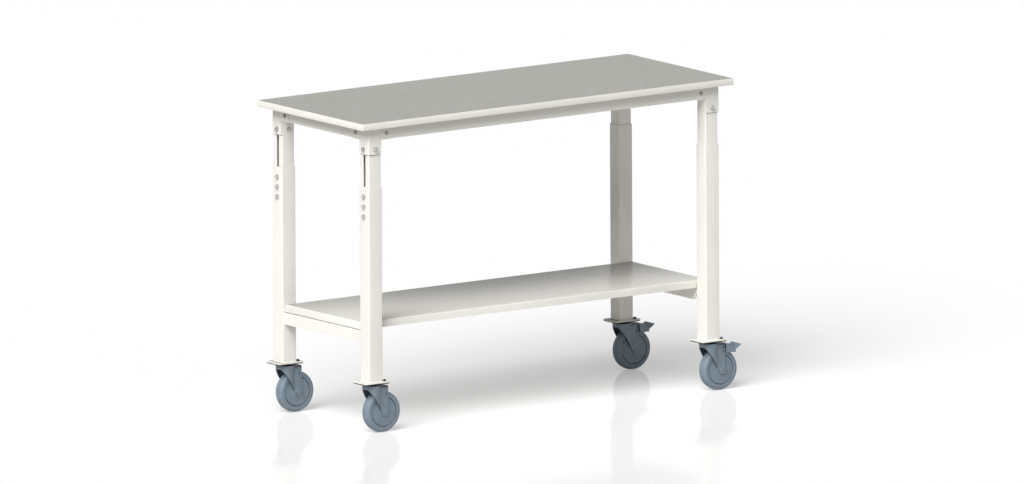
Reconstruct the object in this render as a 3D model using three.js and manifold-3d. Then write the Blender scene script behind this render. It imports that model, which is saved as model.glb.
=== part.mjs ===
// A mobile assembly table with a laminated worktop, telescopic square legs, a steel shelf and swivel casters.
// Millimetres, +Z up, the front of the table towards -Y.
// The origin lies on the floor, under the middle of the box that holds the whole table.
import * as THREE from "three";
import { mergeVertices } from "three/addons/utils/BufferGeometryUtils.js";
import Module from "manifold-3d";

const wasm = await Module();
wasm.setup();

// Worktop
const worktopLength = 1500;
const worktopDepth = 600;
const worktopThickness = 22;
const worktopCornerRadius = 3;
const laminateThickness = 0.8;
const edgeBandThickness = 2;

// Legs, which telescope: an inner tube under the worktop slides in an outer tube on a foot plate
const legEndInset = 69;
const legSideInset = 54;
const outerTubeSide = 54;
const outerTubeWall = 2;
const outerTubeLength = 653;
const innerTubeWall = 2;
const innerTubeLength = 478;
const tubeCornerRadius = 3;
const slidingGap = 0.5;
const restExtension = 108;
const travelUp = 100;
const travelDown = 105;
const footPlateLength = 98.5;
const footPlateWidth = 75;
const footPlateThickness = 4;

// Upper frame: channel rails between the inner legs, held by an angle bracket round each outer corner
const railHeight = 42;
const railFlange = 30;
const railSheet = 2;
const bracketArm = 90;
const bracketHeight = 89;
const bracketSheet = 3;
const bracketFillet = 3;
const legBoltDrop = 72;
const railBoltFromLeg = 45;

// Clamp screws that hold the height, in a row on the outer face of each outer leg
const legSlotWidth = 12;
const clampScrewCount = 3;
const clampScrewPitch = 33;
const clampScrewDrop = 34;
const nutStripWidth = 18;
const nutStripThickness = 6;
const nutStripOverrun = 12;

// Shelf and the two channels that carry it
const shelfAboveFoot = 195;
const shelfLip = 25;
const shelfHem = 12;
const shelfSheet = 1.5;
const shelfEndInset = 9;
const shelfSideGap = 3;
const shelfRailWidth = 40;
const shelfRailHeight = 42;
const shelfRailSheet = 2;
const shelfRailBevel = 20;

// Casters: every wheel trails towards +X, and the right-hand pair has brake pedals
const casterTrail = 38;
const wheelDiameter = 137;
const wheelTopClearance = 10;
const tyreWidth = 36;
const tyreShoulder = 7;
const tyreCrown = 1.5;
const hubDiameter = 98;
const hubFaceRecess = 2.5;
const hubBossRadius = 13;
const hubSideGap = 0.5;
const axleRadius = 5;
const axleHeadRadius = 6.5;
const axleHeadHeight = 2;
const forkTyreGap = 1.5;
const forkSheet = 2.5;
const forkHoodRadius = 31;
const forkHoodWall = 4;
const forkCrownThickness = 12;
const forkMouthReach = 25.5;
const forkTailReach = 13.5;
const forkTailDrop = 2.5;
const forkToeReach = 3;
const forkFootDrop = 14.5;
const forkFootRadius = 5;
const forkDeckLength = 28;
const forkDeckThickness = 3;
const forkSlotWidth = 5;
const forkSlotHeight = 12;
const forkSlotDrop = 22.5;
const racewayRadius = 22;
const racewayHeight = 5.4;
const mountPlateThickness = 3;
const mountPlateInset = 1.5;
const mountStudX = 37;
const mountStudY = 22;
const kingpinRadius = 6;
const kingpinHeadRadius = 11;
const kingpinHeadHeight = 3.5;

// Brake pedal: a lever pinned between the fork's sides, with a hood, a shoe over the tyre and a sloping tread
const pedalPivotFromTail = 5;
const pedalPivotDrop = 16;
const pedalHubRadius = 4.5;
const pedalPinRadius = 3;
const pedalReach = 62.5;
const pedalTipRise = 6.5;
const pedalTreadLength = 27;
const pedalTreadRise = 17;
const pedalTreadWidth = 55;
const pedalSheet = 3;
const pedalHoodReach = 16.5;
const pedalHoodDrop = 6;
const pedalArmGap = 1.2;
const pedalTravelDegrees = 10;
const pedalShoeGap = 0.6;
const pedalShoeFromDegrees = 18;
const pedalShoeToDegrees = 46;
const pedalShoeSteps = 3;
const pedalFlapTyreGap = 1;
const pedalFlapSlope = 3.5;

// Fasteners
const legBolt = { shank: 4, flange: 9, flangeThickness: 2, hex: 7.2, hexHeight: 5 };
const railBolt = { shank: 3, flange: 6.5, flangeThickness: 1.5, hex: 5.4, hexHeight: 4 };
const holeGap = 0.5;
const boltTipOverrun = 2;
const legBoltBlock = 18;

// Gaps and roundness
const seatGap = 0.3;
const runningGap = 0.3;
const cutOverrun = 1;
const hexSides = 6;
const roundSides = 12;
const holeSides = 8;
const discSides = 16;
const hoodSides = 24;
const wheelSides = 28;
const tubeCornerSteps = 2;
const arcSteps = 4;
const mergeDistance = 1e-4;

// Heights that follow from the pieces stacked between the floor and the worktop
const crownBottom = wheelDiameter + wheelTopClearance;
const crownTop = crownBottom + forkCrownThickness;
const racewayBottom = crownTop + runningGap;
const mountBottom = racewayBottom + racewayHeight;
const mountTop = mountBottom + mountPlateThickness;
const casterHeight = mountTop + seatGap;
const footPlateTop = casterHeight + footPlateThickness;
const shelfTopHeight = footPlateTop + shelfAboveFoot;
const outerTubeTop = footPlateTop + outerTubeLength;
const bracketBottom = outerTubeTop + restExtension;
const undersideHeight = bracketBottom + bracketHeight;
const frameTop = undersideHeight - seatGap;
const worktopHeight = undersideHeight + worktopThickness;
const railBottom = undersideHeight - railHeight;
const legBoltHeight = undersideHeight - legBoltDrop;
const railBoltHeight = (frameTop + railBottom) / 2;

// Half sizes and leg positions
const legX = worktopLength / 2 - legEndInset;
const legY = worktopDepth / 2 - legSideInset;
const outerHalf = outerTubeSide / 2;
const innerTubeSide = outerTubeSide - 2 * outerTubeWall - 2 * slidingGap;
const innerHalf = innerTubeSide / 2;
const innerBoreHalf = innerHalf - innerTubeWall;
const bracketInside = innerHalf + seatGap;
const bracketOutside = bracketInside + bracketSheet;
const wheelRadius = wheelDiameter / 2;
const hubRadius = hubDiameter / 2;
const forkInside = tyreWidth / 2 + forkTyreGap;
const forkOutside = forkInside + forkSheet;
const forkTailX = casterTrail + forkTailReach;
const forkDeckX = forkTailX - forkDeckLength;
const pedalPivot = { x: forkTailX - pedalPivotFromTail, z: crownTop - pedalPivotDrop };
const pedalTip = { x: forkTailX + pedalReach, z: pedalPivot.z + pedalTipRise };

const corners = [
  { name: "front_left", sideX: -1, sideY: -1, braked: false },
  { name: "front_right", sideX: 1, sideY: -1, braked: true },
  { name: "back_left", sideX: -1, sideY: 1, braked: false },
  { name: "back_right", sideX: 1, sideY: 1, braked: true },
];

const finishes = {
  laminate: { color: 0xb0b0aa, roughness: 0.55, metalness: 0 },
  edgeBand: { color: 0xe6e3da, roughness: 0.5, metalness: 0 },
  chipboard: { color: 0xb89b6e, roughness: 0.9, metalness: 0 },
  paint: { color: 0xebe8df, roughness: 0.45, metalness: 0.1 },
  zinc: { color: 0xa9a9a6, roughness: 0.35, metalness: 0.9 },
  casterGrey: { color: 0x78858f, roughness: 0.5, metalness: 0.1 },
  tyreGrey: { color: 0x7b8893, roughness: 0.7, metalness: 0 },
};

// Turns a closed geometry into a solid that can be joined and cut
function solidOf(geometry) {
  const bare = new THREE.BufferGeometry();
  bare.setAttribute("position", geometry.getAttribute("position"));
  bare.setIndex(geometry.index);
  const merged = mergeVertices(bare, mergeDistance);
  const corner = merged.index.array;
  const triangles = [];
  for (let i = 0; i < corner.length; i += 3) {
    const [a, b, c] = corner.slice(i, i + 3);
    if (a !== b && b !== c && c !== a) triangles.push(a, b, c);
  }
  const surface = new wasm.Mesh({
    numProp: 3,
    vertProperties: new Float32Array(merged.attributes.position.array),
    triVerts: new Uint32Array(triangles),
  });
  return new wasm.Manifold(surface);
}

function join(...solids) {
  return solids.reduce((whole, solid) => whole.add(solid));
}

function cut(solid, ...tools) {
  return tools.reduce((rest, tool) => rest.subtract(tool), solid);
}

// A box between two opposite corners
function block(low, high) {
  const size = low.map((value, axis) => high[axis] - value);
  const middle = low.map((value, axis) => (high[axis] + value) / 2);
  const geometry = new THREE.BoxGeometry(...size);
  geometry.translate(...middle);
  return solidOf(geometry);
}

// A round or many-sided bar along one axis, with its centre at the other two coordinates
function rod(axis, radius, start, end, across, sides = roundSides) {
  const geometry = new THREE.CylinderGeometry(radius, radius, Math.abs(end - start), sides);
  geometry.translate(0, (start + end) / 2, 0);
  if (axis === "x") {
    geometry.rotateZ(-Math.PI / 2);
    geometry.translate(0, across[0], across[1]);
  } else if (axis === "y") {
    geometry.translate(across[0], 0, across[1]);
  } else {
    geometry.rotateX(Math.PI / 2);
    geometry.translate(across[0], across[1], 0);
  }
  return solidOf(geometry);
}

// A flat outline pushed along one axis: (y, z) along x, (x, z) along y or (x, y) along z
function prism(axis, outline, start, end, curveSegments = arcSteps) {
  const geometry = new THREE.ExtrudeGeometry(outline, {
    depth: end - start,
    bevelEnabled: false,
    curveSegments,
  });
  const x = new THREE.Vector3(1, 0, 0);
  const y = new THREE.Vector3(0, 1, 0);
  const z = new THREE.Vector3(0, 0, 1);
  const turn = new THREE.Matrix4();
  if (axis === "x") turn.makeBasis(y, z, x).setPosition(start, 0, 0);
  if (axis === "y") turn.makeBasis(x, z, y.clone().negate()).setPosition(0, end, 0);
  if (axis === "z") turn.setPosition(0, 0, start);
  geometry.applyMatrix4(turn);
  return solidOf(geometry);
}

// A profile of [radius, y] points turned round the Y axis, with a flat facet at the bottom
function turned(profile) {
  const points = profile.map(([radius, y]) => new THREE.Vector2(radius, y));
  return solidOf(new THREE.LatheGeometry(points, wheelSides, Math.PI / wheelSides));
}

function polygon(points) {
  return new THREE.Shape(points.map(([u, v]) => new THREE.Vector2(u, v)));
}

function roundedRectangle(width, height, radius) {
  const x = width / 2;
  const y = height / 2;
  const outline = new THREE.Shape();
  outline.absarc(x - radius, y - radius, radius, 0, Math.PI / 2);
  outline.absarc(radius - x, y - radius, radius, Math.PI / 2, Math.PI);
  outline.absarc(radius - x, radius - y, radius, Math.PI, 1.5 * Math.PI);
  outline.absarc(x - radius, radius - y, radius, 1.5 * Math.PI, 2 * Math.PI);
  return outline;
}

// A slot with round ends, upright in the (y, z) plane
function uprightSlot(width, low, high) {
  const radius = width / 2;
  const outline = new THREE.Shape();
  outline.absarc(0, high - radius, radius, 0, Math.PI);
  outline.absarc(0, low + radius, radius, Math.PI, 2 * Math.PI);
  return outline;
}

function squareTube(side, wall, low, high) {
  const bore = side - 2 * wall;
  const boreRadius = Math.max(tubeCornerRadius - wall, wall / 2);
  const outside = prism("z", roundedRectangle(side, side, tubeCornerRadius), low, high, tubeCornerSteps);
  const boreOutline = roundedRectangle(bore, bore, boreRadius);
  const inside = prism("z", boreOutline, low - wall, high + wall, tubeCornerSteps);
  return cut(outside, inside);
}

// A flanged hexagon bolt along an axis, its head outside the seat and its tip beyond the nut
function bolt(axis, size, seat, tip, across) {
  const outward = Math.sign(seat - tip);
  const face = seat + outward * seatGap;
  const flangeTop = face + outward * size.flangeThickness;
  const headTop = flangeTop + outward * size.hexHeight;
  const shank = rod(axis, size.shank, tip, flangeTop, across, holeSides);
  const flange = rod(axis, size.flange, face, flangeTop, across);
  const head = rod(axis, size.hex, face, headTop, across, hexSides);
  return join(shank, flange, head);
}

// A hexagon nut that sits against a seat and faces away from it
function nut(axis, size, seat, outward, across) {
  const face = seat + outward * seatGap;
  return rod(axis, size.hex, face, face + outward * size.hexHeight, across, hexSides);
}

function boltHole(axis, size, start, end, across) {
  return rod(axis, size.shank + holeGap, start, end, across, holeSides);
}

// A many-sided hole whose flats clear a pin that turns in it
function runningHole(axis, pinRadius, start, end, across) {
  const radius = (pinRadius + runningGap) / Math.cos(Math.PI / holeSides);
  return rod(axis, radius, start, end, across, holeSides);
}

function addPiece(parent, name, solid, finish) {
  const { vertProperties, triVerts } = solid.getMesh();
  const indexed = new THREE.BufferGeometry();
  indexed.setAttribute("position", new THREE.BufferAttribute(new Float32Array(vertProperties), 3));
  indexed.setIndex(new THREE.BufferAttribute(new Uint32Array(triVerts), 1));
  const geometry = indexed.toNonIndexed();
  geometry.computeVertexNormals();
  const mesh = new THREE.Mesh(geometry, new THREE.MeshStandardMaterial(finish));
  mesh.name = name;
  parent.add(mesh);
}

// The worktop is a chipboard core with a laminate sheet on top and a band glued round its edge
function addWorktop(table) {
  const bandInside = 2 * edgeBandThickness;
  const coreX = worktopLength / 2 - edgeBandThickness - seatGap;
  const coreY = worktopDepth / 2 - edgeBandThickness - seatGap;
  const coreTop = worktopHeight - laminateThickness - seatGap;
  const core = block([-coreX, -coreY, undersideHeight], [coreX, coreY, coreTop]);
  addPiece(table, "worktop_core", core, finishes.chipboard);

  const sheetLow = [-coreX, -coreY, worktopHeight - laminateThickness];
  addPiece(table, "worktop_laminate", block(sheetLow, [coreX, coreY, worktopHeight]), finishes.laminate);

  const outline = roundedRectangle(worktopLength, worktopDepth, worktopCornerRadius);
  const holeX = (worktopLength - bandInside) / 2;
  const holeY = (worktopDepth - bandInside) / 2;
  const hole = block([-holeX, -holeY, 0], [holeX, holeY, 2 * worktopHeight]);
  const band = cut(prism("z", outline, undersideHeight, worktopHeight), hole);
  addPiece(table, "worktop_edge_band", band, finishes.edgeBand);
}

// A rail is a channel that opens towards the middle of the table; its local x runs along it, +y faces out
function railSolid(halfLength, boltX) {
  const inside = innerHalf - railFlange;
  const web = innerHalf - railSheet;
  const profile = polygon([
    [innerHalf, railBottom],
    [innerHalf, frameTop],
    [inside, frameTop],
    [inside, frameTop - railSheet],
    [web, frameTop - railSheet],
    [web, railBottom + railSheet],
    [inside, railBottom + railSheet],
    [inside, railBottom],
  ]);
  const channel = prism("x", profile, -halfLength, halfLength);
  const holes = [-boltX, boltX].map((x) => {
    return boltHole("y", railBolt, web - railSheet, innerHalf + railSheet, [x, railBoltHeight]);
  });
  return cut(channel, ...holes);
}

function addRails(table) {
  const longHalf = legX - innerHalf - seatGap;
  const endHalf = legY - innerHalf - seatGap;
  const longRail = railSolid(longHalf, legX - railBoltFromLeg);
  const endRail = railSolid(endHalf, legY - railBoltFromLeg);
  const places = [
    { name: "front_rail", solid: longRail, x: 0, y: -legY, turn: Math.PI },
    { name: "back_rail", solid: longRail, x: 0, y: legY, turn: 0 },
    { name: "left_end_rail", solid: endRail, x: -legX, y: 0, turn: Math.PI / 2 },
    { name: "right_end_rail", solid: endRail, x: legX, y: 0, turn: -Math.PI / 2 },
  ];
  for (const place of places) {
    const frame = new THREE.Group();
    frame.position.set(place.x, place.y, 0);
    frame.rotation.z = place.turn;
    addPiece(frame, place.name, place.solid, finishes.paint);
    table.add(frame);
  }
}

// One flag-shaped half of a corner bracket: a wide arm over the rail and a stem down the leg
function bracketOutline() {
  const outline = new THREE.Shape();
  const armEnd = bracketOutside - bracketArm;
  outline.moveTo(bracketOutside, frameTop);
  outline.lineTo(armEnd, frameTop);
  outline.lineTo(armEnd, railBottom);
  outline.lineTo(-innerHalf - bracketFillet, railBottom);
  outline.absarc(-innerHalf - bracketFillet, railBottom - bracketFillet, bracketFillet, Math.PI / 2, 0, true);
  outline.lineTo(-innerHalf, bracketBottom);
  outline.lineTo(bracketOutside, bracketBottom);
  return outline;
}

function bracketSolid() {
  const outline = bracketOutline();
  const angle = join(
    prism("y", outline, bracketInside, bracketOutside),
    prism("x", outline, bracketInside, bracketOutside),
  );
  const holes = ["x", "y"].flatMap((axis) => [
    boltHole(axis, legBolt, innerHalf, bracketOutside + bracketSheet, [0, legBoltHeight]),
    boltHole(axis, railBolt, innerHalf, bracketOutside + bracketSheet, [-railBoltFromLeg, railBoltHeight]),
  ]);
  return cut(angle, ...holes);
}

const clampScrewHeights = Array.from({ length: clampScrewCount }, (_, row) => {
  return outerTubeTop - clampScrewDrop - row * clampScrewPitch;
});
const highestScrew = clampScrewHeights[0];
const lowestScrew = clampScrewHeights[clampScrewCount - 1];

// The inner leg has a long slot in its outer face, so that it passes the clamp screws over the whole travel
function innerLegSolid() {
  const slotHigh = Math.max(bracketBottom, highestScrew + travelDown) + legSlotWidth / 2;
  const slotLow = lowestScrew - travelUp - legSlotWidth / 2 - holeGap;
  const tube = squareTube(innerTubeSide, innerTubeWall, frameTop - innerTubeLength, frameTop);
  const slotOutline = uprightSlot(legSlotWidth, slotLow, slotHigh);
  const slot = prism("x", slotOutline, innerBoreHalf - innerTubeWall, outerHalf);
  const holeAcross = boltHole("x", legBolt, 0, outerHalf, [0, legBoltHeight]);
  const holeThrough = boltHole("y", legBolt, -outerHalf, outerHalf, [0, legBoltHeight]);
  return cut(tube, slot, holeAcross, holeThrough);
}

// Two bolts cross in a threaded block inside the leg: one from its outer face, one right through it
function legBoltsSolid() {
  const half = legBoltBlock / 2;
  const threadedBlock = block([-half, -half, legBoltHeight - half], [half, half, legBoltHeight + half]);
  const tip = -innerHalf - seatGap - legBolt.hexHeight - boltTipOverrun;
  const endBolt = bolt("x", legBolt, bracketOutside, 0, [0, legBoltHeight]);
  const throughBolt = bolt("y", legBolt, bracketOutside, tip, [0, legBoltHeight]);
  const throughNut = nut("y", legBolt, -innerHalf, -1, [0, legBoltHeight]);
  return join(threadedBlock, endBolt, throughBolt, throughNut);
}

function railBoltSolid(axis) {
  const nutSeat = innerHalf - railSheet;
  const tip = nutSeat - seatGap - railBolt.hexHeight - boltTipOverrun;
  const across = [-railBoltFromLeg, railBoltHeight];
  return join(bolt(axis, railBolt, bracketOutside, tip, across), nut(axis, railBolt, nutSeat, -1, across));
}

// The outer leg is a tube welded on a foot plate; its screw holes face the end of the table
function outerLegSolid(sideX) {
  const tube = squareTube(outerTubeSide, outerTubeWall, casterHeight, outerTubeTop);
  const outline = roundedRectangle(footPlateLength, footPlateWidth, tubeCornerRadius);
  const plate = prism("z", outline, casterHeight, footPlateTop, tubeCornerSteps);
  const screwHoles = clampScrewHeights.map((height) => {
    return boltHole("x", legBolt, innerHalf - innerTubeWall, outerHalf + outerTubeWall, [0, height]);
  });
  const studHoles = [-mountStudY, mountStudY].map((y) => {
    const across = [sideX * mountStudX, y];
    return boltHole("z", railBolt, casterHeight - cutOverrun, footPlateTop + cutOverrun, across);
  });
  return cut(join(tube, plate), ...screwHoles, ...studHoles);
}

// The clamp screws of one leg share a threaded strip inside the inner leg
function clampScrewsSolid() {
  const stripOutside = innerBoreHalf - seatGap;
  const stripInside = stripOutside - nutStripThickness;
  const half = nutStripWidth / 2;
  const strip = block(
    [stripInside, -half, lowestScrew - nutStripOverrun],
    [stripOutside, half, highestScrew + nutStripOverrun],
  );
  const tip = stripInside - boltTipOverrun;
  const screws = clampScrewHeights.map((height) => bolt("x", legBolt, outerHalf, tip, [0, height]));
  return join(strip, ...screws);
}

// A corner frame has its local axes pointing out of the table, so one solid serves all four legs
function addLegs(table) {
  const bracket = bracketSolid();
  const innerLeg = innerLegSolid();
  const legBolts = legBoltsSolid();
  const longRailBolt = railBoltSolid("y");
  const endRailBolt = railBoltSolid("x");
  const clampScrews = clampScrewsSolid();
  for (const { name, sideX, sideY } of corners) {
    const frame = new THREE.Group();
    frame.position.set(sideX * legX, sideY * legY, 0);
    frame.scale.set(sideX, sideY, 1);
    addPiece(frame, "corner_bracket_" + name, bracket, finishes.paint);
    addPiece(frame, "inner_leg_" + name, innerLeg, finishes.paint);
    addPiece(frame, "leg_bolts_" + name, legBolts, finishes.zinc);
    addPiece(frame, "long_rail_bolt_" + name, longRailBolt, finishes.zinc);
    addPiece(frame, "end_rail_bolt_" + name, endRailBolt, finishes.zinc);
    addPiece(frame, "outer_leg_" + name, outerLegSolid(sideX), finishes.paint);
    addPiece(frame, "clamp_screws_" + name, clampScrews, finishes.zinc);
    table.add(frame);
  }
}

// The shelf is a folded sheet tray with lips all round and hems along the front and back
function addShelf(table) {
  const x = legX + outerHalf - shelfEndInset;
  const y = legY - outerHalf - shelfSideGap;
  const bottom = shelfTopHeight - shelfLip;
  const inX = x - shelfSheet;
  const inY = y - shelfSheet;
  const tray = block([-x, -y, bottom], [x, y, shelfTopHeight]);
  const hollow = block([-inX, -inY, bottom + shelfSheet], [inX, inY, shelfTopHeight - shelfSheet]);
  const mouthY = inY - shelfHem;
  const mouth = block([-inX, -mouthY, bottom - shelfSheet], [inX, mouthY, bottom + 2 * shelfSheet]);
  addPiece(table, "lower_shelf", cut(tray, hollow, mouth), finishes.paint);
}

// A shelf rail is a channel that opens downwards between two legs; the ends of its inner flange are bevelled
function shelfRailSolid() {
  const half = shelfRailWidth / 2;
  const halfLength = legY - outerHalf - seatGap;
  const top = shelfTopHeight - shelfLip - seatGap;
  const bottom = top - shelfRailHeight;
  const bar = block([-half, -halfLength, bottom], [half, halfLength, top]);
  const inside = half - shelfRailSheet;
  const hollow = block(
    [-inside, -halfLength - cutOverrun, bottom - cutOverrun],
    [inside, halfLength + cutOverrun, top - shelfRailSheet],
  );
  const bevels = [-1, 1].map((end) => {
    const outline = polygon([
      [end * (halfLength + cutOverrun), top - shelfRailSheet],
      [end * halfLength, top - shelfRailSheet],
      [end * (halfLength - shelfRailBevel), bottom - cutOverrun],
      [end * (halfLength + cutOverrun), bottom - cutOverrun],
    ]);
    return prism("x", outline, -half - cutOverrun, 0);
  });
  return cut(bar, hollow, ...bevels);
}

function addShelfRails(table) {
  const rail = shelfRailSolid();
  for (const [name, sideX] of [["left", -1], ["right", 1]]) {
    const frame = new THREE.Group();
    frame.position.x = sideX * legX;
    frame.scale.x = sideX;
    addPiece(frame, "shelf_rail_" + name, rail, finishes.paint);
    table.add(frame);
  }
}

// The fixed half of a caster: plate, raceway, kingpin and two studs with nuts above the foot plate
function casterMountSolid() {
  const plateX = footPlateLength / 2 - mountPlateInset;
  const plateY = footPlateWidth / 2 - mountPlateInset;
  const plate = block([-plateX, -plateY, mountBottom], [plateX, plateY, mountTop]);
  const raceway = rod("z", racewayRadius, racewayBottom, mountTop, [0, 0], discSides);
  const pinBottom = crownBottom - runningGap - kingpinHeadHeight;
  const kingpin = rod("z", kingpinRadius, pinBottom, mountTop, [0, 0], holeSides);
  const pinHead = rod("z", kingpinHeadRadius, pinBottom, pinBottom + kingpinHeadHeight, [0, 0]);
  const studTop = footPlateTop + seatGap + railBolt.hexHeight + boltTipOverrun;
  const studs = [-mountStudY, mountStudY].flatMap((y) => [
    rod("z", railBolt.shank, mountBottom, studTop, [mountStudX, y], holeSides),
    nut("z", railBolt, footPlateTop, 1, [mountStudX, y]),
  ]);
  return join(plate, raceway, kingpin, pinHead, ...studs);
}

// A round hood about the kingpin joined with two straight legs, from the floor up
function hoodAndLegs(hoodRadius, legHalf, tailX) {
  const hood = rod("z", hoodRadius, 0, crownTop, [0, 0], hoodSides);
  return join(hood, block([0, -legHalf, 0], [tailX, legHalf, crownTop]));
}

// Side view of the fork: a slanting mouth from the hood to the toe below the axle, and a sloping deck
function forkSide() {
  const bottom = wheelRadius - forkFootDrop;
  const outline = new THREE.Shape();
  outline.moveTo(-forkHoodRadius, crownTop);
  outline.lineTo(-forkHoodRadius, crownBottom);
  outline.lineTo(-forkMouthReach, crownBottom);
  outline.lineTo(casterTrail - forkToeReach, bottom);
  outline.absarc(forkTailX - forkFootRadius, bottom + forkFootRadius, forkFootRadius, -Math.PI / 2, 0);
  outline.lineTo(forkTailX, crownTop - forkTailDrop);
  outline.lineTo(forkDeckX, crownTop);
  return outline;
}

// The hollow of the fork: under the crown and the deck, and open at the tail
function forkHollow() {
  const open = forkTailX + forkSheet;
  const deckLow = crownTop - forkDeckThickness;
  const side = polygon([
    [-forkHoodRadius, 0],
    [open, 0],
    [open, deckLow - forkTailDrop],
    [forkTailX, deckLow - forkTailDrop],
    [forkDeckX, deckLow],
    [forkDeckX, crownBottom],
    [-forkHoodRadius, crownBottom],
  ]);
  const whole = hoodAndLegs(forkHoodRadius - forkHoodWall, forkInside, open);
  return whole.intersect(prism("y", side, -forkHoodRadius, forkHoodRadius));
}

function forkSolid(braked) {
  const reach = forkHoodRadius + cutOverrun;
  const whole = hoodAndLegs(forkHoodRadius, forkOutside, forkTailX);
  const housing = cut(whole.intersect(prism("y", forkSide(), -reach, reach)), forkHollow());
  const pinHole = runningHole("z", kingpinRadius, crownBottom - cutOverrun, crownTop + cutOverrun, [0, 0]);
  const axleHole = rod("y", axleRadius + holeGap, -reach, reach, [casterTrail, wheelRadius], holeSides);
  const pivotHole = runningHole("y", pedalPinRadius, -reach, reach, [pedalPivot.x, pedalPivot.z]);
  const slotX = forkTailX - 2 * forkSlotWidth;
  const slotTop = crownTop - forkTailDrop - forkSlotDrop;
  const slot = block([slotX, -reach, slotTop - forkSlotHeight], [slotX + forkSlotWidth, reach, slotTop]);
  const fork = cut(housing, pinHole, axleHole, slot);
  return braked ? cut(fork, pivotHole) : fork;
}

function axleSolid() {
  const across = [casterTrail, wheelRadius];
  const seat = forkOutside + seatGap;
  const end = seat + axleHeadHeight;
  return join(
    rod("y", axleRadius, -end, end, across, holeSides),
    rod("y", axleHeadRadius, -end, -seat, across),
    rod("y", axleHeadRadius, seat, end, across, hexSides),
  );
}

function hubSolid() {
  const rim = hubRadius - seatGap;
  const face = tyreWidth / 2 - hubFaceRecess;
  const boss = forkInside - hubSideGap;
  const bore = axleRadius + runningGap;
  return turned([
    [bore, -boss],
    [hubBossRadius, -boss],
    [hubBossRadius + hubFaceRecess, -face],
    [rim, -face],
    [rim, face],
    [hubBossRadius + hubFaceRecess, face],
    [hubBossRadius, boss],
    [bore, boss],
    [bore, -boss],
  ]);
}

// The tyre has a slightly crowned tread between two rounded shoulders
function tyreSolid() {
  const half = tyreWidth / 2;
  const shoulderRadius = wheelRadius - tyreCrown;
  const slope = tyreShoulder * (1 - Math.SQRT1_2);
  return turned([
    [hubRadius, -half],
    [shoulderRadius - tyreShoulder, -half],
    [shoulderRadius - slope, -half + slope],
    [shoulderRadius, -half + tyreShoulder],
    [wheelRadius, 0],
    [shoulderRadius, half - tyreShoulder],
    [shoulderRadius - slope, half - slope],
    [shoulderRadius - tyreShoulder, half],
    [hubRadius, half],
    [hubRadius, -half],
  ]);
}

// The shoe follows the tyre when the pedal is pressed: at rest it is that curve turned back about the pivot
function pedalShoePoints() {
  const radius = wheelRadius + pedalShoeGap;
  const travel = THREE.MathUtils.degToRad(pedalTravelDegrees);
  const step = (pedalShoeToDegrees - pedalShoeFromDegrees) / pedalShoeSteps;
  return Array.from({ length: pedalShoeSteps + 1 }, (_, index) => {
    const angle = THREE.MathUtils.degToRad(pedalShoeFromDegrees + index * step);
    const x = casterTrail + radius * Math.sin(angle) - pedalPivot.x;
    const z = wheelRadius + radius * Math.cos(angle) - pedalPivot.z;
    return [
      pedalPivot.x + x * Math.cos(travel) - z * Math.sin(travel),
      pedalPivot.z + x * Math.sin(travel) + z * Math.cos(travel),
    ];
  });
}

// Side view of the pedal: hub at the pivot, shoe over the tyre, sloping tread out to the tip, and the hood
function pedalOutline() {
  const shoe = pedalShoePoints();
  const shoeEndX = shoe[pedalShoeSteps][0];
  const slope = pedalTreadRise / pedalTreadLength;
  const armTop = pedalPivot.z + pedalHubRadius / 2;
  return polygon([
    [pedalPivot.x, pedalPivot.z - pedalHubRadius],
    ...shoe,
    [shoeEndX, pedalTip.z - slope * (pedalTip.x - shoeEndX) - pedalSheet],
    [pedalTip.x, pedalTip.z - pedalSheet],
    [pedalTip.x, pedalTip.z],
    [pedalTip.x - pedalTreadLength, pedalTip.z - pedalTreadRise],
    [forkTailX + pedalHoodReach, crownTop - pedalHoodDrop],
    [forkTailX + pedalArmGap, crownTop - pedalHoodDrop],
    [forkTailX + pedalArmGap, armTop],
    [pedalPivot.x, armTop],
  ]);
}

// A flap on each side of the pedal hangs from the hood beside the tyre, down to the shoe's far end
function pedalFlaps() {
  const [endX, endZ] = pedalShoePoints()[pedalShoeSteps];
  const frontX = forkTailX + pedalArmGap;
  const outline = polygon([
    [frontX, crownTop - pedalHoodDrop],
    [frontX + pedalFlapSlope, endZ],
    [endX, endZ],
    [endX, endZ + pedalSheet],
  ]);
  const inside = tyreWidth / 2 + pedalFlapTyreGap;
  const outside = pedalTreadWidth / 2;
  return [prism("y", outline, inside, outside), prism("y", outline, -outside, -inside)];
}

function pedalSolid() {
  const pivot = [pedalPivot.x, pedalPivot.z];
  const armHalf = forkInside - pedalArmGap;
  const treadHalf = pedalTreadWidth / 2;
  const wide = prism("y", pedalOutline(), -treadHalf, treadHalf);
  const sideRelief = [-1, 1].map((side) => {
    const [near, far] = [side * armHalf, side * (treadHalf + forkOutside)].sort((a, b) => a - b);
    return block([0, near, 0], [forkTailX + pedalArmGap, far, casterHeight]);
  });
  const hub = rod("y", pedalHubRadius, -armHalf, armHalf, pivot);
  const pin = rod("y", pedalPinRadius, -forkOutside, forkOutside, pivot, holeSides);
  return join(cut(wide, ...sideRelief), ...pedalFlaps(), hub, pin);
}

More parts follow.
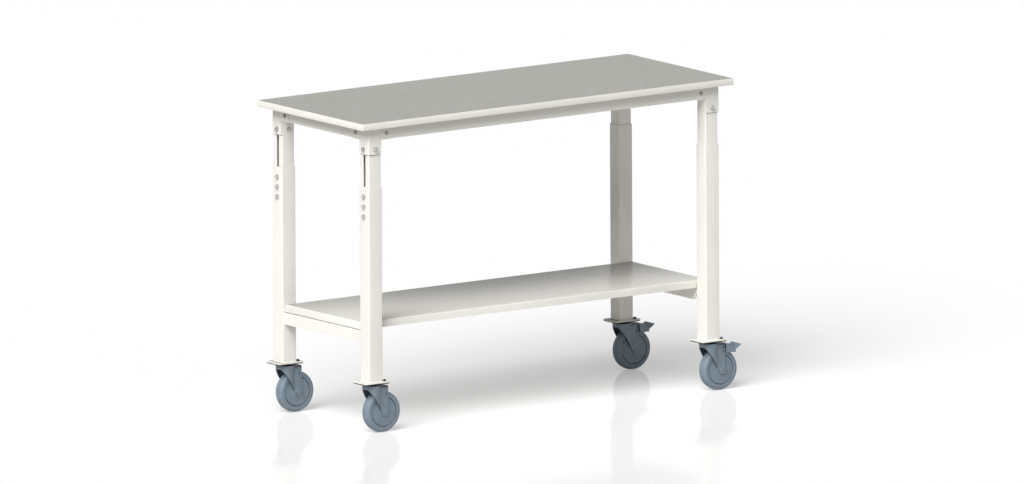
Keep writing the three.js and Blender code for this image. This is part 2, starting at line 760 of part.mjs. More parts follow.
function addCasters(table) {
  const mount = casterMountSolid();
  const axle = axleSolid();
  const hub = hubSolid();
  const tyre = tyreSolid();
  for (const { name, sideX, sideY, braked } of corners) {
    const caster = new THREE.Group();
    caster.position.set(sideX * legX, sideY * legY, 0);
    addPiece(caster, "caster_mount_" + name, mount, finishes.casterGrey);
    addPiece(caster, "caster_fork_" + name, forkSolid(braked), finishes.casterGrey);
    addPiece(caster, "wheel_axle_" + name, axle, finishes.zinc);
    const wheel = new THREE.Group();
    wheel.position.set(casterTrail, 0, wheelRadius);
    addPiece(wheel, "wheel_hub_" + name, hub, finishes.casterGrey);
    addPiece(wheel, "wheel_tyre_" + name, tyre, finishes.tyreGrey);
    caster.add(wheel);
    if (braked) addPiece(caster, "brake_pedal_" + name, pedalSolid(), finishes.casterGrey);
    table.add(caster);
  }
}

// The brake pedals reach past the right end of the worktop, so the table stands off centre in its own box
const rightReach = Math.max(worktopLength / 2, legX + pedalTip.x);
const table = new THREE.Group();
table.position.x = (worktopLength / 2 - rightReach) / 2;
addWorktop(table);
addRails(table);
addLegs(table);
addShelf(table);
addShelfRails(table);
addCasters(table);

export default table;
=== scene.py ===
"""Looks of the mobile assembly table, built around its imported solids.

Metres, +Z up, the front of the table towards -Y.
"""
import math

import bmesh
import bpy
from mathutils import Matrix, Vector


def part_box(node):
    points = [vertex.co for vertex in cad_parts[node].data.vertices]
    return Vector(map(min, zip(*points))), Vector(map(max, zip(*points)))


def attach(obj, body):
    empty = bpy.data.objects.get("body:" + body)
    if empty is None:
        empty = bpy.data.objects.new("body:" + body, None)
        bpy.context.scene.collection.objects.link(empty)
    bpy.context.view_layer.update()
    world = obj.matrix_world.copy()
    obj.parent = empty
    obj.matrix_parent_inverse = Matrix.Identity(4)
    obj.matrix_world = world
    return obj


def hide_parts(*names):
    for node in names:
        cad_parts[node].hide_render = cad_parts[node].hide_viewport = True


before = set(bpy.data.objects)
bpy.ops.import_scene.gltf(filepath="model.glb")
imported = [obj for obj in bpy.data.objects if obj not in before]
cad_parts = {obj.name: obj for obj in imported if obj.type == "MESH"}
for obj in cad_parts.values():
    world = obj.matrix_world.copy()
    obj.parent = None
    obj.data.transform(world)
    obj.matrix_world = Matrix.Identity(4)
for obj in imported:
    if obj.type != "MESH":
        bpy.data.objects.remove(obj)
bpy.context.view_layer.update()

MM = 0.001

# Corners of the table, each with the direction that points out of the table
CORNERS = {
    "front_left": (-1, -1),
    "front_right": (1, -1),
    "back_left": (-1, 1),
    "back_right": (1, 1),
}
BRAKED = ("front_right", "back_right")

# Roundness
CORNER_STEPS = 6
BEND_STEPS = 5
SLOT_STEPS = 10
FORK_SLOT_STEPS = 8
SHELF_CORNER_STEPS = 2
SHOULDER_STEPS = 8
SHOE_STEPS = 6
ROUND_SIDES = 48
WHEEL_SIDES = 96
BOLT_SIDES = 32
PIN_SIDES = 24
SHANK_SIDES = 20
HEXAGON_POINTS = 4
BEVEL_SEGMENTS = 2
BEVEL_ANGLE = math.radians(50)
SMOOTH_ANGLE = math.radians(32)
MERGE_DISTANCE = 0.001 * MM
CUT_OVERRUN = 1 * MM

# Worktop edge band; the middle of its round edge lies in from the corner by a share of the radius
EDGE_BAND = 2 * MM
EDGE_BAND_ROUND = 0.8 * MM
EDGE_BAND_CORNER = 3 * MM
ROUND_MIDDLE = 0.3

# Tubes and folded sheet
OUTER_TUBE_SIDE = 54 * MM
TUBE_WALL = 2 * MM
TUBE_CORNER = 3.4 * MM
TUBE_INNER_CORNER = 0.8 * MM
TUBE_RIM = 0.5 * MM
FOOT_PLATE = 4 * MM
FOOT_CORNER = 1.5 * MM
FOOT_EDGE = 0.6 * MM
SLOT_WIDTH = 12 * MM
SLOT_BELOW_SCREWS = 105.5 * MM
SLOT_LINER_X = 11.5 * MM
# Depth of the painted shadow line below a bracket's or the shelf's lower edge
SHADOW_LINE_DEPTH = 2.4 * MM
SHEET_EDGE = 0.3 * MM
RAIL_SHEET = 2 * MM
RAIL_BEND = 3.5 * MM
RAIL_FLANGE = 30 * MM
BRACKET_SHEET = 3 * MM
BRACKET_BEND = 5 * MM
BRACKET_FILLET = 3 * MM
BRACKET_EDGE = 0.5 * MM
SHELF_SHEET = 1.5 * MM
SHELF_BEND = 3 * MM
SHELF_HEM = 12 * MM
SHELF_CORNER = 0.4 * MM
SHELF_RAIL_BEVEL = 20 * MM

# Section of the weld bead in shares of its size: out from the tube and up from the plate
WELD_SIZE = 2 * MM
WELD_BEAD = ((1, -0.1), (1, 0.25), (0.55, 0.62), (0.15, 1.05), (-0.2, 1), (-0.2, -0.1))

# Rails: the axis along which each runs and the side that it looks to
RAILS = {
    "front_rail": ("x", -1),
    "back_rail": ("x", 1),
    "left_end_rail": ("y", -1),
    "right_end_rail": ("y", 1),
}

# Fasteners
LEG_BOLT = {"shank": 4 * MM, "flange": 9 * MM, "hex": 7.2 * MM, "height": 5 * MM, "rise": 2 * MM}
RAIL_BOLT = {"shank": 3 * MM, "flange": 6.5 * MM, "hex": 5.4 * MM, "height": 4 * MM, "rise": 1.5 * MM}
SEAT_GAP = 0.3 * MM
SEAT_EDGE = 0.3 * MM
RIM_EDGE = 0.25 * MM
LEG_BOLT_DROP = 72 * MM
LEG_BOLT_BLOCK = 18 * MM
BLOCK_CORNER = 1 * MM
RAIL_BOLT_FROM_LEG = 45 * MM
CLAMP_SCREW_DROP = 34 * MM
CLAMP_SCREW_PITCH = 33 * MM
CLAMP_SCREWS = 3
CLAMP_STRIP = (6 * MM, 18 * MM)
CLAMP_STRIP_OVERRUN = 12 * MM
TIP_OVERRUN = 2 * MM

# Shares of a bolt's own sizes: flange radius, flange rise, hexagon radius and shank radius
FLANGE_SEAT = 0.95
FLANGE_TOP = 0.96
RIM_RISE = 0.55
HEX_ROOT_RISE = 0.6
HEX_FLAT = 0.96
CONE_TOP = 1.02
CONE_INSIDE = 0.5
THREAD_PITCH = 0.3
THREAD_ROOT = 0.86
THREAD_TIP = 0.8
THREAD_TURNS = 8

# Casters
TRAIL = 38 * MM
WHEEL_RADIUS = 68.5 * MM
TYRE_WIDTH = 36 * MM
TYRE_SHOULDER = 8 * MM
TYRE_FLAT = 1.5 * MM
TYRE_CROWN = 1.5 * MM
TYRE_TREAD_DEGREES = 8
HUB_RADIUS = 49 * MM
HUB_RECESS = 1.2 * MM
HUB_GROOVE = 1.6 * MM
HUB_SIDE_GAP = 0.5 * MM
HUB_BOSS = 13 * MM
HUB_BOSS_EDGE = 0.8 * MM
HUB_BOSS_FOOT = 3 * MM
HUB_BOSS_FOOT_RISE = 0.6 * MM
AXLE_RADIUS = 5 * MM
AXLE_HEAD = 6.5 * MM
AXLE_HEAD_HEIGHT = 2 * MM
FORK_INSIDE = 19.5 * MM
FORK_OUTSIDE = FORK_INSIDE + 2.5 * MM
FORK_HOOD = 31 * MM
FORK_HOOD_WALL = 4 * MM
FORK_MOUTH = 25.5 * MM
FORK_TAIL = TRAIL + 13.5 * MM
FORK_TAIL_DROP = 2.5 * MM
FORK_TAIL_CORNER = 1.5 * MM
FORK_TOE = TRAIL - 3 * MM
FORK_FOOT = WHEEL_RADIUS - 14.5 * MM
FORK_FOOT_CORNER = 5 * MM
FORK_DECK_X = FORK_TAIL - 28 * MM
FORK_DECK = 3 * MM
FORK_DECK_LOW = 150.5 * MM
FORK_DECK_CORNER = 4 * MM
FORK_SLOT = (5 * MM, 12 * MM)
FORK_SLOT_DROP = 22.5 * MM
FORK_SLOT_FROM_TAIL = 7.5 * MM
FORK_EDGE = 0.7 * MM
CROWN_TOP = 159 * MM
CROWN_BOTTOM = 147 * MM
MOUNT_PLATE = (164.7 * MM, 167.7 * MM)
MOUNT_INSET = 1.5 * MM
MOUNT_EDGE = 0.4 * MM
MOUNT_STUD = (37 * MM, 22 * MM)
RACEWAY_RADIUS = 22 * MM
RACEWAY_LOW = 159.3 * MM
RACEWAY_GROOVE = 0.8 * MM
KINGPIN_RADIUS = 6 * MM
KINGPIN_HEAD = (11 * MM, 143.2 * MM, 146.7 * MM)

# Groove between hub and tyre, each side in shares of its width: out from the joint and up to the face
HUB_GROOVE_SIDE = ((-1, 0), (-0.7, -0.3), (-0.6, -3), (0, -3.2))
TYRE_GROOVE_SIDE = ((0, -4), (0.6, -3.8), (0.7, -0.3), (1, 0))

# Round lower edge of the raceway: inset and height of its points
RACEWAY_ROUND = ((1.5 * MM, 0), (0.5 * MM, 0.4 * MM), (0, 1.2 * MM))

# Painted shade in the fork: the face attribute that holds its depth, and what counts as inside or as a
# slanting edge
SHADE_ATTRIBUTE = "inside"
INSIDE_MARGIN = 0.1 * MM
DECK_MARGIN = 1 * MM
EDGE_SHADE = 0.75
SLANTING_DOWN = -0.3

# Brake pedal
PEDAL_PIVOT = Vector((46.5 * MM, 143 * MM))
PEDAL_TIP = Vector((114 * MM, 149.5 * MM))
PEDAL_TREAD = Vector((27 * MM, 17 * MM))
PEDAL_HOOD = Vector((FORK_TAIL + 16.5 * MM, CROWN_TOP - 6 * MM))
PEDAL_SHEET = 3 * MM
PEDAL_HUB = 4.5 * MM
PEDAL_PIN = 3 * MM
PEDAL_HALF_WIDTH = 27.5 * MM
PEDAL_ARM_GAP = 1.2 * MM
PEDAL_ARM_HALF = FORK_INSIDE - PEDAL_ARM_GAP
PEDAL_FRONT = FORK_TAIL + PEDAL_ARM_GAP
PEDAL_ARM_LIFT = (1 * MM, 0.8 * MM)
PEDAL_TRAVEL = math.radians(10)
PEDAL_SHOE_GAP = 0.6 * MM
PEDAL_SHOE_LIP = 0.6 * MM
PEDAL_SHOE_ANGLES = (math.radians(18), math.radians(46))
PEDAL_FLAP_INSIDE = TYRE_WIDTH / 2 + 1 * MM
PEDAL_FLAP_SLOPE = 3.5 * MM
PEDAL_FLAP_DROP = 1 * MM
PEDAL_FLAP_CORNER = 2 * MM
PEDAL_TIP_CORNER = 1 * MM
PEDAL_CREST_CORNER = 5 * MM
PEDAL_HOOD_CORNER = 2.5 * MM
PEDAL_EDGE = 0.6 * MM
PEDAL_RIBS = 5
PEDAL_RIB_INSET = 4 * MM
PEDAL_RIB_CORNER = 0.5 * MM

# Section of a rib on the tread: half its thickness at three heights
PEDAL_RIB = ((1.3 * MM, -0.5 * MM), (1.2 * MM, 0.3 * MM), (0.7 * MM, 0.8 * MM))


# Meshes

def loft(loops, place=Matrix(), closed=False, bm=None):
    """Skin a row of loops with equal numbers of points, in a new mesh or in a given one.

    Both ends are capped unless the row closes on itself.
    """
    if bm is None:
        bm = bmesh.new()
    rows = [[bm.verts.new(place @ Vector(point)) for point in loop] for loop in loops]
    pairs = list(zip(rows, rows[1:]))
    if closed:
        pairs.append((rows[-1], rows[0]))
    else:
        bm.faces.new(rows[0])
        bm.faces.new(rows[-1])
    for first, second in pairs:
        for i in range(len(first)):
            bm.faces.new((first[i - 1], first[i], second[i], second[i - 1]))
    return bm


def rounded_loop(half_x, half_y, radius, z, steps=CORNER_STEPS):
    """A rectangle with round corners, at one height."""
    signs = [(1, 1), (-1, 1), (-1, -1), (1, -1)]
    points = []
    for quarter, (side_x, side_y) in enumerate(signs):
        for step in range(steps + 1):
            angle = (quarter + step / steps) * math.pi / 2
            x = side_x * (half_x - radius) + radius * math.cos(angle)
            y = side_y * (half_y - radius) + radius * math.sin(angle)
            points.append((x, y, z))
    return points


def block(size_x, size_y, corner, low, high, place=Matrix(), bm=None):
    """An upright block with round corners between two heights."""
    return loft([rounded_loop(size_x / 2, size_y / 2, corner, z) for z in (low, high)], place, bm=bm)


def broken_edges(low, high, edge):
    """The levels of a block with broken edges, as (inset, height)."""
    return [(edge, low), (0, low + edge), (0, high - edge), (edge, high)]


def turned(profile, place=Matrix(), sides=ROUND_SIDES, closed=False, bm=None):
    """A profile of (radius, height) points turned round the local Z axis."""
    angles = [2 * math.pi * i / sides for i in range(sides)]
    loops = [[(radius * math.cos(a), radius * math.sin(a), z) for a in angles] for radius, z in profile]
    return loft(loops, place, closed, bm)


def arc(centre, radius, start, end, steps):
    """Points on an arc in a plane, from one angle to another in degrees."""
    angles = [math.radians(start + (end - start) * i / steps) for i in range(steps + 1)]
    return [(centre[0] + radius * math.cos(a), centre[1] + radius * math.sin(a)) for a in angles]


def slot_outline(middle, low, high, width, steps):
    """A slot with round ends, upright in its plane."""
    radius = width / 2
    top = arc((middle, high - radius), radius, 0, 180, steps)
    bottom = arc((middle, low + radius), radius, 180, 360, steps)
    return top + bottom


def softened(corners):
    """A closed outline from (a, b, radius) corners, each rounded to its radius."""
    outline = []
    for i, (a, b, radius) in enumerate(corners):
        here = Vector((a, b))
        if not radius:
            outline.append((a, b))
            continue
        before = (Vector(corners[i - 1][:2]) - here).normalized()
        after = (Vector(corners[(i + 1) % len(corners)][:2]) - here).normalized()
        half = before.angle(after) / 2
        centre = here + (before + after).normalized() * (radius / math.sin(half))
        start = here + before * (radius / math.tan(half)) - centre
        sweep = start.angle_signed(here + after * (radius / math.tan(half)) - centre)
        for step in range(BEND_STEPS + 1):
            turn = Matrix.Rotation(-sweep * step / BEND_STEPS, 2)
            outline.append(tuple(centre + turn @ start))
    return outline


def bar(outline, axis, start, end, bm=None):
    """A flat outline pushed along X, given as (y, z), or along Y, given as (x, z)."""
    loops = [[(along, a, b) if axis == "x" else (a, along, b) for a, b in outline] for along in (start, end)]
    return loft(loops, bm=bm)


def placed(bm, place):
    bmesh.ops.transform(bm, matrix=place, verts=bm.verts)
    return bm


def linked(name, data):
    piece = bpy.data.objects.new(name, data)
    bpy.context.scene.collection.objects.link(piece)
    return piece


def mesh_from(bm, name):
    bmesh.ops.remove_doubles(bm, verts=bm.verts, dist=MERGE_DISTANCE)
    bmesh.ops.recalc_face_normals(bm, faces=bm.faces)
    mesh = bpy.data.meshes.new(name)
    bm.to_mesh(mesh)
    bm.free()
    return mesh


def evaluated_mesh(piece):
    """The mesh that an object's modifiers or curve settings give."""
    evaluated = piece.evaluated_get(bpy.context.evaluated_depsgraph_get())
    bm = bmesh.new()
    bm.from_mesh(evaluated.to_mesh())
    return bm


def combined(bm, operation, *tools):
    """The solid joined with or cut by others."""
    pieces = [linked("solid", mesh_from(solid, "solid")) for solid in (bm, *tools)]
    target = pieces[0]
    for tool in pieces[1:]:
        modifier = target.modifiers.new("combine", "BOOLEAN")
        modifier.operation = operation
        modifier.solver = "EXACT"
        modifier.object = tool
    result = evaluated_mesh(target)
    for piece in pieces:
        bpy.data.meshes.remove(piece.data)
    return result


def plate(outline, thickness, place):
    """A plate with rounded edges, its outline drawn in the local XY plane."""
    curve = bpy.data.curves.new("plate", "CURVE")
    curve.dimensions = "2D"
    curve.fill_mode = "BOTH"
    curve.extrude = thickness / 2 - PEDAL_EDGE
    curve.bevel_depth = PEDAL_EDGE
    curve.bevel_resolution = BEVEL_SEGMENTS
    curve.offset = -PEDAL_EDGE
    spline = curve.splines.new("POLY")
    spline.points.add(len(outline) - 1)
    for point, (x, y) in zip(spline.points, outline):
        point.co = (x, y, 0, 1)
    spline.use_cyclic_u = True
    bm = evaluated_mesh(linked("plate", curve))
    bpy.data.curves.remove(curve)
    bmesh.ops.remove_doubles(bm, verts=bm.verts, dist=MERGE_DISTANCE)
    return placed(bm, place)


def add_piece(node, bm, body, slot, edge=0.0, material=None):
    """Make the mesh a piece that rides on a body and stands for its node."""
    name = node + "_look"
    mesh = mesh_from(bm, name)
    mesh.polygons.foreach_set("use_smooth", [True] * len(mesh.polygons))
    mesh.set_sharp_from_angle(angle=SMOOTH_ANGLE)
    mesh.materials.append(MATERIALS[material or slot])
    piece = linked(name, mesh)
    if edge:
        modifier = piece.modifiers.new("edge", "BEVEL")
        modifier.width = edge
        modifier.segments = BEVEL_SEGMENTS
        modifier.limit_method = "ANGLE"
        modifier.angle_limit = BEVEL_ANGLE
    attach(piece, body)
    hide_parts(node)
    return piece


# Materials

WHITE = (1, 1, 1, 1)
BLACK = (0, 0, 0, 1)

# Colour sockets of a mix node: two inputs and the output
MIX_FIRST, MIX_SECOND, MIX_RESULT = 6, 7, 2

# Range in which nearly all of a noise lies
NOISE_LOW = 0.3
NOISE_HIGH = 0.7

# Upward part of the normal where painted shade starts on faces that look up and where it is full
SHADE_NORMAL = (0.85, 0.99)

# Where the painted shade on what looks up starts to deepen towards the back, standing for the worktop's
# shadow, and where it is full, and how far clouds shift this
SHADE_DEPTH = (-0.08, 0.26)
SHADE_CLOUD = 0.06


def srgb(*values):
    """A colour read off as 0 to 255 values above 10, as the linear colour a shader takes."""
    return (*(((value / 255 + 0.055) / 1.055) ** 2.4 for value in values), 1)


def shade(colour, factor):
    return tuple(channel * factor for channel in colour[:3]) + (1,)


class Nodes:
    """Short calls for the nodes of a material or of the world."""

    def __init__(self, tree):
        self.tree = tree

    def feed(self, target, value):
        """Link an output to an input, or set the input to a plain value."""
        if isinstance(value, bpy.types.NodeSocket):
            self.tree.links.new(value, target)
        else:
            target.default_value = value

    def node(self, kind, *values, inputs=None, **settings):
        """A new node with its settings; values go to its first inputs, and to others by name."""
        made = self.tree.nodes.new(kind)
        for key, setting in settings.items():
            setattr(made, key, setting)
        for target, value in zip(made.inputs, values):
            self.feed(target, value)
        for name, value in (inputs or {}).items():
            self.feed(made.inputs[name], value)
        return made

    def shader(self, kind, *values):
        return self.node(kind, *values).outputs[0]

    def maths(self, operation, *values):
        return self.node("ShaderNodeMath", *values, operation=operation).outputs["Value"]

    def part(self, vector, axis):
        """One coordinate of a vector."""
        return self.node("ShaderNodeSeparateXYZ", vector).outputs[axis]

    def spread(self, value, start, end, low=0.0, high=1.0, kind="LINEAR"):
        """The range from start to end of a value spread from low to high."""
        made = self.node("ShaderNodeMapRange", value, start, end, low, high, interpolation_type=kind)
        return made.outputs["Result"]

    def seen_rays(self):
        """1 for rays from the camera and for those that a shiny or clear surface sends on."""
        path = self.node("ShaderNodeLightPath")
        shiny = self.maths("MAXIMUM", path.outputs["Is Camera Ray"], path.outputs["Is Glossy Ray"])
        return self.maths("MAXIMUM", shiny, path.outputs["Is Transmission Ray"])


class Surface(Nodes):
    """A material with a principled shader and short calls for the nodes that feed it."""

    def __init__(self, name, metallic=0.0, specular=0.5):
        self.material = bpy.data.materials.new(name)
        self.material.use_nodes = True
        super().__init__(self.material.node_tree)
        self.main = self.tree.nodes["Principled BSDF"]
        self.main.inputs["Metallic"].default_value = metallic
        self.main.inputs["Specular IOR Level"].default_value = specular
        self.place = self.node("ShaderNodeTexCoord").outputs["Object"]

    def colour(self, source):
        self.feed(self.main.inputs["Base Color"], source)

    def roughness(self, source):
        self.feed(self.main.inputs["Roughness"], source)

    def bump(self, height, distance, strength):
        inputs = {"Height": height, "Distance": distance, "Strength": strength}
        made = self.node("ShaderNodeBump", inputs=inputs)
        self.feed(self.main.inputs["Normal"], made.outputs["Normal"])

    def noise(self, scale, detail, roughness=0.5, stretch=None):
        place = self.place
        if stretch:
            place = self.node("ShaderNodeMapping", place, inputs={"Scale": stretch}).outputs["Vector"]
        inputs = {"Scale": scale, "Detail": detail, "Roughness": roughness}
        return self.node("ShaderNodeTexNoise", place, inputs=inputs).outputs["Fac"]

    def cells(self, scale):
        return self.node("ShaderNodeTexVoronoi", self.place, inputs={"Scale": scale}).outputs["Color"]

    def ramp(self, value, *stops):
        """Colours at stops along a value from 0 to 1."""
        made = self.node("ShaderNodeValToRGB", value)
        elements = made.color_ramp.elements
        while len(elements) < len(stops):
            elements.new(0.5)
        for element, (position, colour) in zip(elements, stops):
            element.position = position
            element.color = colour
        return made.outputs["Color"]

    def cloudy(self, noise, base, low, high):
        """A base colour that a noise shades between two factors."""
        return self.ramp(noise, (NOISE_LOW, shade(base, low)), (NOISE_HIGH, shade(base, high)))

    def span(self, noise, low, high):
        """A noise as a value from low to high."""
        return self.spread(noise, NOISE_LOW, NOISE_HIGH, low, high)

    def mix(self, factor, first, second, blend="MIX"):
        made = self.node("ShaderNodeMix", factor, data_type="RGBA", blend_type=blend)
        self.feed(made.inputs[MIX_FIRST], first)
        self.feed(made.inputs[MIX_SECOND], second)
        return made.outputs[MIX_RESULT]

    def normal(self):
        return self.node("ShaderNodeNewGeometry").outputs["Normal"]

    def facing_up(self):
        """1 on faces that look straight up, 0 from a slope of about 30 degrees on."""
        return self.spread(self.part(self.normal(), "Z"), *SHADE_NORMAL)

    def towards_back(self):
        """0 in the front half of the table, rising to 1 at the back legs, with a cloudy edge: how deep the
        painted shade of the worktop's shadow is.
        """
        depth = self.maths("MULTIPLY_ADD", self.noise(9, 3), SHADE_CLOUD, self.part(self.place, "Y"))
        return self.spread(depth, *SHADE_DEPTH, kind="SMOOTHSTEP")

    def just_below(self, height):
        """1 on the outward faces within a painted shadow line's depth below a height, 0 elsewhere."""
        half = SHADOW_LINE_DEPTH / 2
        near = self.maths("COMPARE", self.part(self.place, "Z"), height - half, half)
        outward = self.node("ShaderNodeVectorMath", self.place, self.normal(), operation="DOT_PRODUCT")
        facing_out = self.maths("GREATER_THAN", outward.outputs["Value"], 0)
        return self.maths("MULTIPLY", near, facing_out)


def powder_coat(name="powder_coat", shadow_line_height=None):
    """Warm white powder coat: cloudy tone, fine orange peel, and painted shade on what looks up that deepens
    towards the back where the worktop's shadow falls.

    A shadow line height is the height of a joint; a painted shadow line lies on the outward faces just below
    it.
    """
    made = Surface(name, specular=0.005)
    base = srgb(240, 238, 231)
    cloud = made.ramp(made.noise(5, 3), (0.35, shade(base, 0.975)), (0.65, shade(base, 1.015)))
    # Painted shade: faces that look up are darkened, most at the back under the worktop's shadow
    painted_shade = made.ramp(made.towards_back(), (0.0, shade(base, 0.82)), (1.0, shade(base, 0.5)))
    paint = made.mix(made.facing_up(), cloud, painted_shade)
    # Painted shadow line cast by the joint's edge
    if shadow_line_height:
        paint = made.mix(made.just_below(shadow_line_height), paint, shade(base, 0.3))
    made.colour(paint)
    made.roughness(made.span(made.noise(40, 3), 0.14, 0.22))
    made.bump(made.noise(420, 2), 0.1 * MM, 0.12)
    return made.material


def laminate():
    """Grey decor laminate: fine speckle over an even tone, with a pearl texture."""
    made = Surface("laminate", specular=0.1)
    cloud = made.cloudy(made.noise(3, 3), srgb(160, 159, 153), 0.985, 1.015)
    grain = made.ramp(made.noise(900, 2), (0.35, shade(WHITE, 0.985)), (0.65, shade(WHITE, 1.015)))
    made.colour(made.mix(1.0, cloud, grain, "MULTIPLY"))
    made.roughness(made.span(made.noise(60, 3), 0.36, 0.5))
    made.bump(made.noise(700, 2), 0.04 * MM, 0.05)
    return made.material


def edge_band():
    """Warm white plastic edge band with faint lengthwise draw lines."""
    made = Surface("edge_band", specular=0.1)
    made.colour(made.cloudy(made.noise(8, 3), srgb(236, 234, 227), 0.965, 1.02))
    lines = made.noise(300, 2, stretch=(0.02, 0.02, 1))
    made.roughness(made.span(lines, 0.34, 0.48))
    made.bump(lines, 0.05 * MM, 0.2)
    return made.material


def chipboard():
    """Pressed wood flakes at the edges, with a plain grey-brown backing paper underneath."""
    made = Surface("chipboard")
    flakes = made.ramp(
        made.cells(260),
        (0.0, srgb(150, 118, 74)), (0.5, srgb(190, 158, 108)), (1.0, srgb(214, 186, 140)),
    )
    paper = made.ramp(made.noise(30, 4), (NOISE_LOW, srgb(122, 118, 110)), (NOISE_HIGH, srgb(134, 130, 122)))
    facing_down = made.maths("LESS_THAN", made.part(made.normal(), "Z"), -0.5)
    made.colour(made.mix(facing_down, flakes, paper))
    made.roughness(0.75)
    made.bump(made.noise(500, 3), 0.1 * MM, 0.4)
    return made.material


def zinc(name, tone, roughness):
    """Zinc plate: cloudy metal with fine scratches."""
    made = Surface(name, metallic=1.0)
    made.colour(made.cloudy(made.noise(220, 4), srgb(tone, tone, tone - 2), 0.82, 1.1))
    made.roughness(made.span(made.noise(500, 3), roughness - 0.08, roughness + 0.12))
    made.bump(made.noise(900, 3, stretch=(1, 1, 0.15)), 0.03 * MM, 0.3)
    return made.material


def caster_plastic():
    """Blue-grey moulded plastic with a fine spark-eroded texture; painted shade inside the fork, on its
    down-facing slanting edges, and on what looks up.
    """
    made = Surface("caster_plastic")
    base = srgb(117, 132, 144)
    cloud = made.cloudy(made.noise(45, 4), base, 0.9, 1.08)
    # Painted shade for the fork's hollow, deck and slanting edges, read from the face attribute
    hollow_shade = made.cloudy(made.noise(70, 4), base, 0.36, 0.48)
    inside = made.node("ShaderNodeAttribute", attribute_name=SHADE_ATTRIBUTE)
    shaded_hollow = made.mix(inside.outputs["Fac"], cloud, hollow_shade)
    # Painted shadow of the foot plate on faces that look up
    made.colour(made.mix(made.facing_up(), shaded_hollow, shade(base, 0.4)))
    made.roughness(made.span(made.noise(300, 2), 0.4, 0.54))
    made.bump(made.noise(1500, 2), 0.06 * MM, 0.35)
    return made.material


def tyre_rubber():
    """Blue-grey rubber, duller than the plastic, with light scuffs."""
    made = Surface("tyre_rubber", specular=0.35)
    base = srgb(124, 138, 150)
    cloud = made.cloudy(made.noise(60, 4), base, 0.88, 1.06)
    scuff = made.ramp(made.noise(240, 5, 0.7), (0.62, BLACK), (0.75, WHITE))
    faint = made.mix(1.0, scuff, shade(WHITE, 0.25), "MULTIPLY")
    made.colour(made.mix(faint, cloud, shade(base, 1.35)))
    made.roughness(made.span(made.noise(180, 3), 0.55, 0.72))
    made.bump(made.noise(900, 3), 0.08 * MM, 0.35)
    return made.material


# Places that the frame gives

def centre_of(node):
    low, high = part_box(node)
    return (low + high) / 2


def half_size(node):
    low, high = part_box(node)
    return (high - low) / 2


FOOT_LOW, OUTER_TOP = (corner.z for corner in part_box("outer_leg_front_left"))
FOOT_TOP = FOOT_LOW + FOOT_PLATE
FOOT_HALF = half_size("outer_leg_front_left")
OUTER_HALF = OUTER_TUBE_SIDE / 2
INNER_LOW, FRAME_TOP = (corner.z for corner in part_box("inner_leg_front_left"))
INNER_HALF = half_size("inner_leg_front_left").x
INNER_BORE = INNER_HALF - TUBE_WALL
BRACKET_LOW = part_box("corner_bracket_front_left")[0].z
BRACKET_OUTSIDE = INNER_HALF + SEAT_GAP + BRACKET_SHEET
RAIL_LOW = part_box("front_rail")[0].z
SHELF_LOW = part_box("lower_shelf")[0].z
LEG_BOLT_HEIGHT = FRAME_TOP + SEAT_GAP - LEG_BOLT_DROP
RAIL_BOLT_HEIGHT = (FRAME_TOP + RAIL_LOW) / 2
CLAMP_HEIGHTS = [OUTER_TOP - CLAMP_SCREW_DROP - i * CLAMP_SCREW_PITCH for i in range(CLAMP_SCREWS)]

MATERIALS = {
    "laminate": laminate(),
    "edge_band": edge_band(),
    "chipboard": chipboard(),
    "frame_paint": powder_coat(),
    # These two paints carry a painted shadow line, below the brackets and below the shelf
    "inner_leg_paint": powder_coat("inner_leg_paint", BRACKET_LOW),
    "shelf_rail_paint": powder_coat("shelf_rail_paint", SHELF_LOW),
    "fastener_zinc": zinc("fastener_zinc", 205, 0.26),
    # Darker copies of the fastener zinc as painted shade: the leg bolts with duller glints, the rail bolts
    # for the worktop's shadow
    "leg_bolt_zinc_shaded": zinc("leg_bolt_zinc_shaded", 188, 0.36),
    "rail_bolt_zinc_shaded": zinc("rail_bolt_zinc_shaded", 150, 0.4),
    # The mount's zinc is toned dark as painted shade, standing for the shade under the foot plate
    "caster_steel": zinc("caster_steel", 62, 0.5),
    "caster_housing": caster_plastic(),
    "tyre_rubber": tyre_rubber(),
}

# Turns that lay the local Z axis along +X, -X, +Y, -Y or -Z; the fourth also stands an (x, z) outline upright
ALONG_X = Matrix.Rotation(math.pi / 2, 4, "Y")
AGAINST_X = Matrix.Rotation(-math.pi / 2, 4, "Y")
ALONG_Y = Matrix.Rotation(-math.pi / 2, 4, "X")
AGAINST_Y = Matrix.Rotation(math.pi / 2, 4, "X")
DOWN = Matrix.Rotation(math.pi, 4, "X")


def at(x, y, z, turn=Matrix()):
    return Matrix.Translation((x, y, z)) @ turn


def floor_under(node):
    """The place on the floor below the middle of a node."""
    middle = centre_of(node)
    return at(middle.x, middle.y, 0)


# Worktop

def add_worktop():
    low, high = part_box("worktop_edge_band")
    half = half_size("worktop_edge_band")
    edge = EDGE_BAND_ROUND
    rounded = ROUND_MIDDLE * edge
    levels = [
        (0, low.z + edge), (0, high.z - edge), (rounded, high.z - rounded), (edge, high.z),
        (EDGE_BAND, high.z), (EDGE_BAND, low.z), (edge, low.z), (rounded, low.z + rounded),
    ]
    loops = []
    for inset, z in levels:
        loops.append(rounded_loop(half.x - inset, half.y - inset, EDGE_BAND_CORNER - inset, z))
    band = loft(loops, floor_under("worktop_edge_band"), closed=True)
    add_piece("worktop_edge_band", band, "upper_frame", "edge_band")
    for node, slot in (("worktop_core", "chipboard"), ("worktop_laminate", "laminate")):
        node_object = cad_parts[node]
        node_object.data.materials.clear()
        node_object.data.materials.append(MATERIALS[slot])


# Rails and brackets

